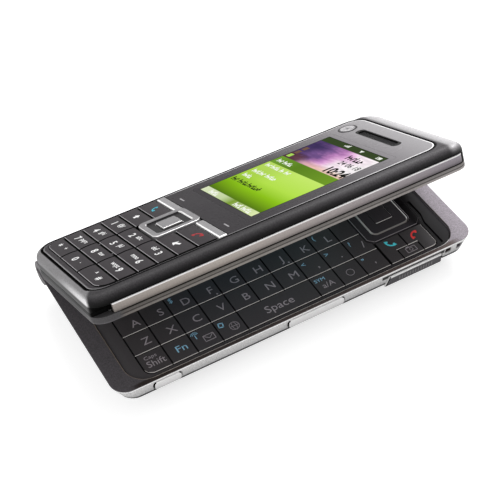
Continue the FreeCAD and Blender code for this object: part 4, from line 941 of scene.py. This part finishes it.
def gap_line():
    """The black joint that runs round the faceplate, as one thin closed band."""
    form = bmesh.new()
    inner = rounded_outline(FACE_BOX, FACE_CORNER, lambda out: 0.03)
    outer = rounded_outline(FACE_BOX, FACE_CORNER, lambda out: 0.62 + 0.5 * max(out, 0) + 0.15 * max(-out, 0))
    loops = []
    for points, level in ((inner, 0.02), (outer, -0.04), (outer, -0.2), (inner, -0.2)):
        drop = 0.0 if points is inner else 0.12
        loops.append([form.verts.new((x, y, LID_TOP + level - drop * max(out, 0))) for x, y, out in points])
    skin(form, zip(loops, loops[1:] + loops[:1]))
    bmesh.ops.recalc_face_normals(form, faces=form.faces)
    mesh = mesh_from(form, "faceplate_gap_line", LID_PLACE)
    new_piece("faceplate_gap_line", mesh, "lid", "faceplate", EDGES["gap"])


def add_screw_crosses(node, radius):
    """A dark cross on each screw head, painted shade that stands for the cross recess; the heads' places come from
    the node itself.
    """
    points = [place_of(node).inverted() @ vert.co for vert in frame["nodes"][node].data.vertices]
    low, high = (Vector([pick(point[axis] for point in points) for axis in range(3)]) for pick in (min, max))
    middle, span = (low + high) / 2, high - low
    repeat(node[:-1] + "_crosses", node, "cross", (middle.x, middle.y, low.z),
           (span.x - 2 * radius, span.y - 2 * radius), (2, 2), (1.25 * radius, 0.28 * radius, 0.05),
           "screw_cross")


gap_line()
add_screw_crosses("base_screws", 1.15)
add_screw_crosses("lid_screws", 0.95)

# name, node, shape, middle, reach and count of the grid, size of the shape, finish
for row in (
        ("socket_contacts", "usb_socket", "bar", (-52.6, 0, 8.66), (0, 4.4), (1, 5), (1.7, 0.42, 0.12), "gold"),
        ("socket_tongue", "usb_socket", "bar", (-52.5, 0, 8.35), (0, 0), (1, 1), (2.1, 5.6, 0.55), "tongue"),
        ("flap_ribs", "card_flap", "bar", (36.2, -26.62, 6.9), (10.8, 0), (13, 1), (0.42, 0.16, 1.3), "flap_rib"),
        ("earpiece_mesh", "earpiece", "bar", (43.3, -1.12, 18.27), (0, 18.0), (1, 37), (2.1, 0.2, 0.12),
         "mesh_bar"),
        ("door_ribs", "battery_door", "bar", (-7.6, 0, 0), (6.0, 0), (6, 1), (0.5, 14.0, 0.1), "door_rib"),
        ("five_key_nubs", "lid_key_five", "stud", (-42.0, -1.1, LID_KEY_TOP), (0, 9.6), (1, 2), (0.5, 0.5, 0.2),
         "nub")):
    repeat(*row)


# ---------------------------------------------------------------- legends and the screen's contents

PRINT_THICKNESS = 0.02

# height of a capital as a share of its font size
CAPITAL_SHARE = 0.72


class Print:
    """Thin raised legends of one colour on one body, drawn in millimetres of the closed phone."""

    def __init__(self, level):
        self.form = bmesh.new()
        self.level = level
        self.on_lid = level >= LID_TOP

    def put(self, u, v, place):
        """A point drawn u to the right and v up from the legend's place, as its reader holds the phone."""
        if self.on_lid:
            return Vector((place[0] + v, place[1] - u, self.level))
        return Vector((place[0] + u, place[1] + v, self.level))

    def shape(self, points, place, scale=1.0, turn=0.0):
        """A closed prism over an outline."""
        spin = Matrix.Rotation(math.radians(turn), 2)
        corners = [spin @ Vector(point) * scale for point in points]
        if sum(a.x * b.y - b.x * a.y for a, b in zip(corners, corners[1:] + corners[:1])) < 0:
            corners.reverse()
        low = [self.form.verts.new(self.put(c.x, c.y, place)) for c in corners]
        high = [self.form.verts.new(vert.co + Vector((0, 0, PRINT_THICKNESS))) for vert in low]
        self.form.faces.new(high)
        self.form.faces.new(low[::-1])
        skin(self.form, ((high, low),))

    def stroke(self, points, place, width, closed=False):
        """A line of even width through points, as one prism for each run."""
        corners = [Vector(point) for point in points]
        ends = corners[1:] + corners[:1] if closed else corners[1:]
        for start, end in zip(corners, ends):
            along = (end - start).normalized() * width / 2
            side = Vector((-along.y, along.x))
            a, b = start - along, end + along
            self.shape((a - side, b - side, b + side, a + side), place)

    def outline(self, left, right, low, high, place, width):
        self.stroke([(left, low), (right, low), (right, high), (left, high)], place, width, True)

    def bar(self, place, length, height):
        u, v = length / 2, height / 2
        self.shape([(-u, -v), (u, -v), (u, v), (-u, v)], place)

    def words(self, text, place, height, weight=0.0, stretch=1.0):
        """Letters centred on a place, with capitals of that height."""
        curve = bpy.data.curves.new("letters", "FONT")
        curve.body = text
        curve.size = height / CAPITAL_SHARE
        curve.align_x = curve.align_y = "CENTER"
        curve.resolution_u = 3
        curve.offset = weight
        curve.extrude = PRINT_THICKNESS / 2
        holder = show(bpy.data.objects.new("letters", curve))
        mesh = plain_mesh(holder)
        for vert in mesh.vertices:
            point = self.put(vert.co.x * stretch, vert.co.y, place)
            point.z = self.level + PRINT_THICKNESS / 2 + vert.co.z
            vert.co = point
        self.form.from_mesh(mesh)
        bpy.data.objects.remove(holder)
        bpy.data.curves.remove(curve)
        bpy.data.meshes.remove(mesh)

    def finish(self, name, body, colour, slot):
        bmesh.ops.remove_doubles(self.form, verts=self.form.verts, dist=1e-5)
        bmesh.ops.recalc_face_normals(self.form, faces=self.form.faces)
        mesh = mesh_from(self.form, name, LID_PLACE if self.on_lid else BASE_PLACE)
        new_piece(name, mesh, body, slot, PRINTS[colour])


def arc(centre, radius, start, end, count):
    angles = [math.radians(start + (end - start) * i / count) for i in range(count + 1)]
    return [(centre[0] + radius * math.cos(angle), centre[1] + radius * math.sin(angle)) for angle in angles]


HANDSET = (arc((0, 1.05), 1.65, 208, 332, 8) + arc((0, 1.05), 0.85, 332, 308, 2)
        + arc((0, 1.05), 1.25, 304, 236, 5) + arc((0, 1.05), 0.85, 232, 208, 2))
BACK_ARROW = [(-1.3, 0.0), (-0.1, 1.0), (-0.1, 0.32), (1.2, 0.32), (1.2, -0.32), (-0.1, -0.32), (-0.1, -1.0)]
UP_ARROW = [(0, 1.0), (-0.95, 0.1), (-0.45, 0.1), (-0.45, -0.7), (0.45, -0.7), (0.45, 0.1), (0.95, 0.1)]

# one row of dial keys after another: name, digit and small letters
DIAL_LEGENDS = (
    ("star", "*", "+"), ("zero", "0", "."), ("hash", "#", "^"),
    ("seven", "7", "pqrs"), ("eight", "8", "tuv"), ("nine", "9", "wxyz"),
    ("four", "4", "ghi"), ("five", "5", "jkl"), ("six", "6", "mno"),
    ("one", "1", "@/"), ("two", "2", "abc"), ("three", "3", "def"),
)


def print_dial_keys():
    for index, (name, digit, letters) in enumerate(DIAL_LEGENDS):
        row, column = divmod(index, 3)
        x, y = DIAL_LEFT + DIAL_PITCH * (row + 0.5), DIAL_COLUMNS[column]
        swapped = column == 2
        for part, text, place, height, weight, stretch in (
                ("digit_on_", digit, (x - 0.2, y - 1.9 if swapped else y + 2.0), 1.7 if digit == "#" else 2.1,
                 0.05, 1.15),
                ("letters_on_", letters, (x + 0.45, y + 2.0 if swapped else y - 1.9), 1.5, 0.02, 1.05)):
            ink = Print(LID_KEY_TOP)
            ink.words(text, place, height, weight, stretch)
            ink.finish(part + name, "lid_key_" + name, "white_print", "lid_keys")


def print_icons():
    call_x = CALL_LEFT + CALL_PITCH * 1.5
    home_x = call_x - CALL_PITCH
    for body, level, shape, place, scale, turn, colour in (
            ("lid_call_key", LID_KEY_TOP, HANDSET, (call_x - 0.2, 12.6), 1.1, -50, "cyan_print"),
            ("lid_end_key", LID_KEY_TOP, HANDSET, (call_x + 0.2, -16.2), 1.45, 208, "red_print"),
            ("lid_home_key", LID_KEY_TOP, UP_ARROW, (home_x, 12.4), 1.15, 0, "white_print"),
            ("lid_back_key", LID_KEY_TOP, BACK_ARROW, (home_x - 0.1, -15.9), 1.2, 24, "white_print"),
            ("base_call_key", KEY_TOP, HANDSET, CALL_KEY_PLACE, 1.3, -42, "base_cyan_print"),
            ("base_end_key", KEY_TOP, HANDSET, END_KEY_PLACE, 1.3, -135, "base_red_print")):
        icon = Print(level)
        icon.shape(shape, place, scale, turn)
        icon.finish("icon_on_" + body, body, colour, "lid_keys" if icon.on_lid else "base_keys")
    dashes = Print(LID_TOP)
    for y in (11.7, -17.1):
        dashes.bar((-13.75, y), 2.9, 0.4)
    dashes.finish("softkey_dashes", "lid", "dim_print", "faceplate")
    camera = Print(KEY_TOP)
    camera.outline(-1.5, 1.5, -0.95, 0.8, CAMERA_KEY_PLACE, 0.2)
    camera.stroke(arc((0, -0.05), 0.5, 0, 330, 8), CAMERA_KEY_PLACE, 0.2, True)
    camera.bar((CAMERA_KEY_PLACE[0] - 0.7, CAMERA_KEY_PLACE[1] + 1.05), 0.9, 0.3)
    camera.finish("icon_on_base_camera_key", "base_camera_key", "grey_print", "base_keys")


# lines of small marks: place along the phone, far end, length of each word, height, ink
LIST_LINES = (
    (14.0, 12.4, (2.6, 4.6, 2.2, 2.6), 1.7, "light"), (9.6, 12.2, (3.4, 3.2, 6.0), 1.8, "light"),
    (6.4, 12.2, (4.6,), 1.8, "light"), (3.2, 12.8, (3.4, 4.8, 7.6), 2.0, "dark"),
    (17.7, 12.2, (3.0, 4.8), 1.8, "light"), (-5.6, 9.8, (5.2,), 1.9, "light"),
    (-5.6, -5.6, (4.2, 5.2), 2.0, "light"), (30.3, -6.0, (8.6,), 2.6, "dark"),
)

# strokes that stand in for the letters of small text: height share of the stem, and where its arm sits
LETTER_STROKES = ((1.0, 0.5), (0.7, 0.3), (0.7, 0.7), (1.0, 0.0), (0.7, 0.0), (0.7, 0.35))


def text_stand_in(ink, x, far, length, height):
    """A word's worth of short strokes that read as small text and spell nothing."""
    pitch = height * 0.52
    foot = x - height / 2
    for index in range(max(1, round(length / pitch))):
        tall, arm = LETTER_STROKES[index % len(LETTER_STROKES)]
        y = far - pitch * (index + 0.5)
        ink.bar((foot + height * tall / 2, y + pitch * 0.25), pitch * 0.36, height * tall)
        ink.bar((foot + height * (arm + 0.15) * 0.8, y - pitch * 0.1), pitch * 0.62, height * 0.26)


def print_screen():
    light, dark = Print(LID_TOP), Print(LID_TOP)
    for x, far, lengths, height, shade in LIST_LINES:
        for length in lengths:
            text_stand_in(light if shade == "light" else dark, x, far, length, height)
            far -= length + 0.6
    dark.words("10:24", (22.1, -12.7), 3.5, 0.17)
    dark.words("24 06 18", (26.8, -12.3), 2.1, 0.02)
    for place, height in (((34.5, 2.6), 0.5), ((34.6, 1.9), 0.8), ((34.7, 1.2), 1.1), ((34.8, 0.5), 1.4)):
        light.bar(place, 0.4, height)
    light.shape([(-0.9, 0.45), (0.9, 0.45), (0, -0.75)], (34.6, -6.4))
    light.outline(-1.0, 1.0, -0.5, 0.5, (34.5, -15.6), 0.22)
    light.bar((34.5, -15.9), 1.1, 0.6)
    light.finish("screen_marks_light", "lid", "screen_white", "display")
    dark.finish("screen_marks_dark", "lid", "screen_black", "display")
    for index, (x, colour) in enumerate(((21.6, "screen_lime"), (24.2, "screen_clay"), (26.8, "screen_clay"))):
        tile = Print(LID_TOP)
        tile.bar((x, 12.2), 1.9, 1.9)
        tile.finish("screen_tile_%d" % (index + 1), "lid", colour, "display")


# rows two to five of the keyboard: letters, second signs, and how far the letters stand from their keys' middle
LETTER_ROWS = (("ZXCVBNM,./", "       <>?", 1.2, -0.4), ("ASDFGHJKL", "  $     (", 1.34, -0.75),
        ("QWERTYUIOP", "", 0.9, 0.0), ("1234567890", "", 0.9, 0.0))


def on_key(column, row, right=0.0, up=0.0, span=1):
    """A place to the right of and above the middle of a keyboard key."""
    return KEYS_LEFT + KEY_PITCH * (column + span / 2) + right, KEYS_FRONT + ROW_PITCH * (row + 0.5) + up


def print_letter_keys():
    for row, (letters, signs, right, up) in enumerate(LETTER_ROWS, 1):
        grey, blue = Print(KEY_TOP), Print(KEY_TOP)
        for column, letter in enumerate(letters):
            grey.words(letter, on_key(column, row, right, up), 2.5, 0.0, 1.12)
            if letter in "FJ":
                grey.shape(arc((0, 0), 0.28, 0, 315, 7), on_key(column, row, 2.5, -2.7))
        for column, sign in enumerate(signs):
            if sign != " ":
                blue.words(sign, on_key(column, row, -2.2, 1.5), 1.7)
        body = "key_row_%d" % (row + 1)
        grey.finish("letters_row_%d" % (row + 1), body, "grey_print", "base_keys")
        if signs:
            blue.finish("signs_row_%d" % (row + 1), body, "blue_print", "base_keys")


def print_first_row():
    grey, blue, space = Print(KEY_TOP), Print(KEY_TOP), Print(KEY_TOP)
    for ink, text, place, height, weight, stretch in (
            (grey, "Caps", on_key(0, 0, -0.4, 1.6), 1.2, 0.0, 1.1),
            (grey, "Shift", on_key(0, 0, 0.3, -0.7), 2.1, 0.0, 1.05),
            (blue, "Fn", on_key(1, 0, 0.5), 2.2, 0.0, 1.2),
            (blue, "SYM", on_key(7, 0, -1.3, 1.7), 1.2, 0.0, 1.1),
            (grey, "a/A", on_key(7, 0, 0.1, -0.7), 1.9, 0.0, 1.05),
            (blue, '"', on_key(9, 0, -2.2, 1.3), 1.8, 0.02, 1.0),
            (grey, ",", on_key(9, 0, 0.5, 0.2), 2.2, 0.0, 1.0),
            (space, "Space", on_key(4, 0, -0.1, -0.3, 3), 2.5, 0.0, 1.12)):
        ink.words(text, place, height, weight, stretch)
    letter, signal, globe = on_key(2, 0, 1.0, -0.4), on_key(2, 0, -2.2, 1.6), on_key(3, 0, 1.0, -0.4)
    grey.outline(-1.5, 1.5, -1.0, 1.0, letter, 0.2)
    grey.stroke([(-1.4, 0.9), (0, -0.3), (1.4, 0.9)], letter, 0.18)
    blue.stroke([(0, -0.9), (0, 0.3)], signal, 0.22)
    blue.stroke(arc((0, 0.3), 0.6, 20, 160, 4), signal, 0.18)
    blue.stroke(arc((0, 0.3), 1.05, 20, 160, 4), signal, 0.18)
    grey.stroke(arc((0, 0), 1.35, 0, 345, 14), globe, 0.26, True)
    grey.stroke([(-1.3, 0), (1.3, 0)], globe, 0.2)
    grey.stroke([(0.6 * c, 1.3 * s) for c, s in arc((0, 0), 1.0, 0, 345, 10)], globe, 0.18, True)
    blue.stroke([(-0.7, -0.6), (0.5, -0.8), (0.8, 0.5), (-0.4, 0.8)], on_key(3, 0, -2.2, 1.5), 0.34, True)
    grey.stroke(arc((0, 0), 1.15, 0, 340, 12), on_key(8, 0, 0.0, -0.1), 0.22, True)
    grey.finish("legends_row_1", "key_row_1", "grey_print", "base_keys")
    blue.finish("signs_row_1", "key_row_1", "blue_print", "base_keys")
    space.finish("legend_on_space", "space_key", "grey_print", "base_keys")


print_dial_keys()
print_icons()
print_screen()
print_letter_keys()
print_first_row()


# ---------------------------------------------------------------- floor, light and camera

def seen_directly(tree):
    """One for rays from the camera, from gloss and through glass, which see plain white."""
    rays = add_node(tree, "ShaderNodeLightPath")
    seen = add_math(tree, "MAXIMUM", rays["Is Camera Ray"], rays["Is Glossy Ray"])
    return add_math(tree, "MAXIMUM", seen, rays["Is Transmission Ray"])


def make_floor():
    """A wide sheet that keeps the shadow and is lifted to white around it."""
    mesh = bpy.data.meshes.new("floor")
    reach = 3.0
    mesh.from_pydata([(-reach, -reach, 0), (reach, -reach, 0), (reach, reach, 0), (-reach, reach, 0)], [],
            [(0, 1, 2, 3)])
    material = bpy.data.materials.new("floor_paper")
    material.use_nodes = True
    tree = material.node_tree
    tree.nodes.clear()
    paper = add_node(tree, "ShaderNodeBsdfDiffuse", {"Color": 0.6})[0]
    lift = add_math(tree, "MULTIPLY", seen_directly(tree), 0.62)
    glow = add_node(tree, "ShaderNodeEmission", {"Strength": lift})[0]
    both = add_node(tree, "ShaderNodeAddShader", {0: paper, 1: glow})[0]
    add_node(tree, "ShaderNodeOutputMaterial", {"Surface": both})
    mesh.materials.append(material)
    floor = show(bpy.data.objects.new("floor", mesh))


def make_world():
    world = bpy.context.scene.world = bpy.data.worlds.new("soft_room")
    world.use_nodes = True
    tree = world.node_tree
    level = add_node(tree, "ShaderNodeMapRange", {"Value": seen_directly(tree), "To Min": 0.55, "To Max": 1.0})
    for name, value in (("Strength", level["Result"]), ("Color", 1.0)):
        feed(tree, tree.nodes["Background"].inputs[name], value)


def add_lamp(name, place, watts):
    """A square lamp that faces the phone."""
    data = bpy.data.lights.new(name, "AREA")
    data.size = 0.5
    data.energy = watts
    lamp = show(bpy.data.objects.new(name, data))
    lamp.location = place
    lamp.rotation_euler = (Vector((0, 0, 0.01)) - Vector(place)).to_track_quat("-Z", "Y").to_euler()


# focal length as a share of the picture's width
FOCAL_SHARE = 1271.11 / 500


def make_camera():
    """A long lens from the near left, above the phone."""
    azimuth, elevation, roll = (math.radians(angle) for angle in (-29.37, 47.10, -0.94))
    aim, distance = Vector((-1.48, 0.59, 10.6)), 356.0
    back = Vector((math.sin(azimuth) * math.cos(elevation), -math.cos(azimuth) * math.cos(elevation),
            math.sin(elevation)))
    right = (-back).cross(Vector((0, 0, 1))).normalized()
    up = right.cross(-back)
    turned = Matrix((math.cos(roll) * right + math.sin(roll) * up, math.cos(roll) * up - math.sin(roll) * right,
            back)).transposed()
    data = bpy.data.cameras.new("camera")
    data.sensor_width = 36.0
    data.lens = data.sensor_width * FOCAL_SHARE
    data.clip_start = 0.01
    camera = show(bpy.data.objects.new("camera", data))
    camera.matrix_world = Matrix.Translation((aim + back * distance) * MM) @ turned.to_4x4()
    bpy.context.scene.camera = camera


make_floor()
make_world()
add_lamp("key_light", (0.25, 0.35, 0.6), 4.5)
add_lamp("fill_light", (-0.45, -0.3, 0.4), 1.7)
make_camera()
bpy.context.scene.view_settings.view_transform = "Standard"
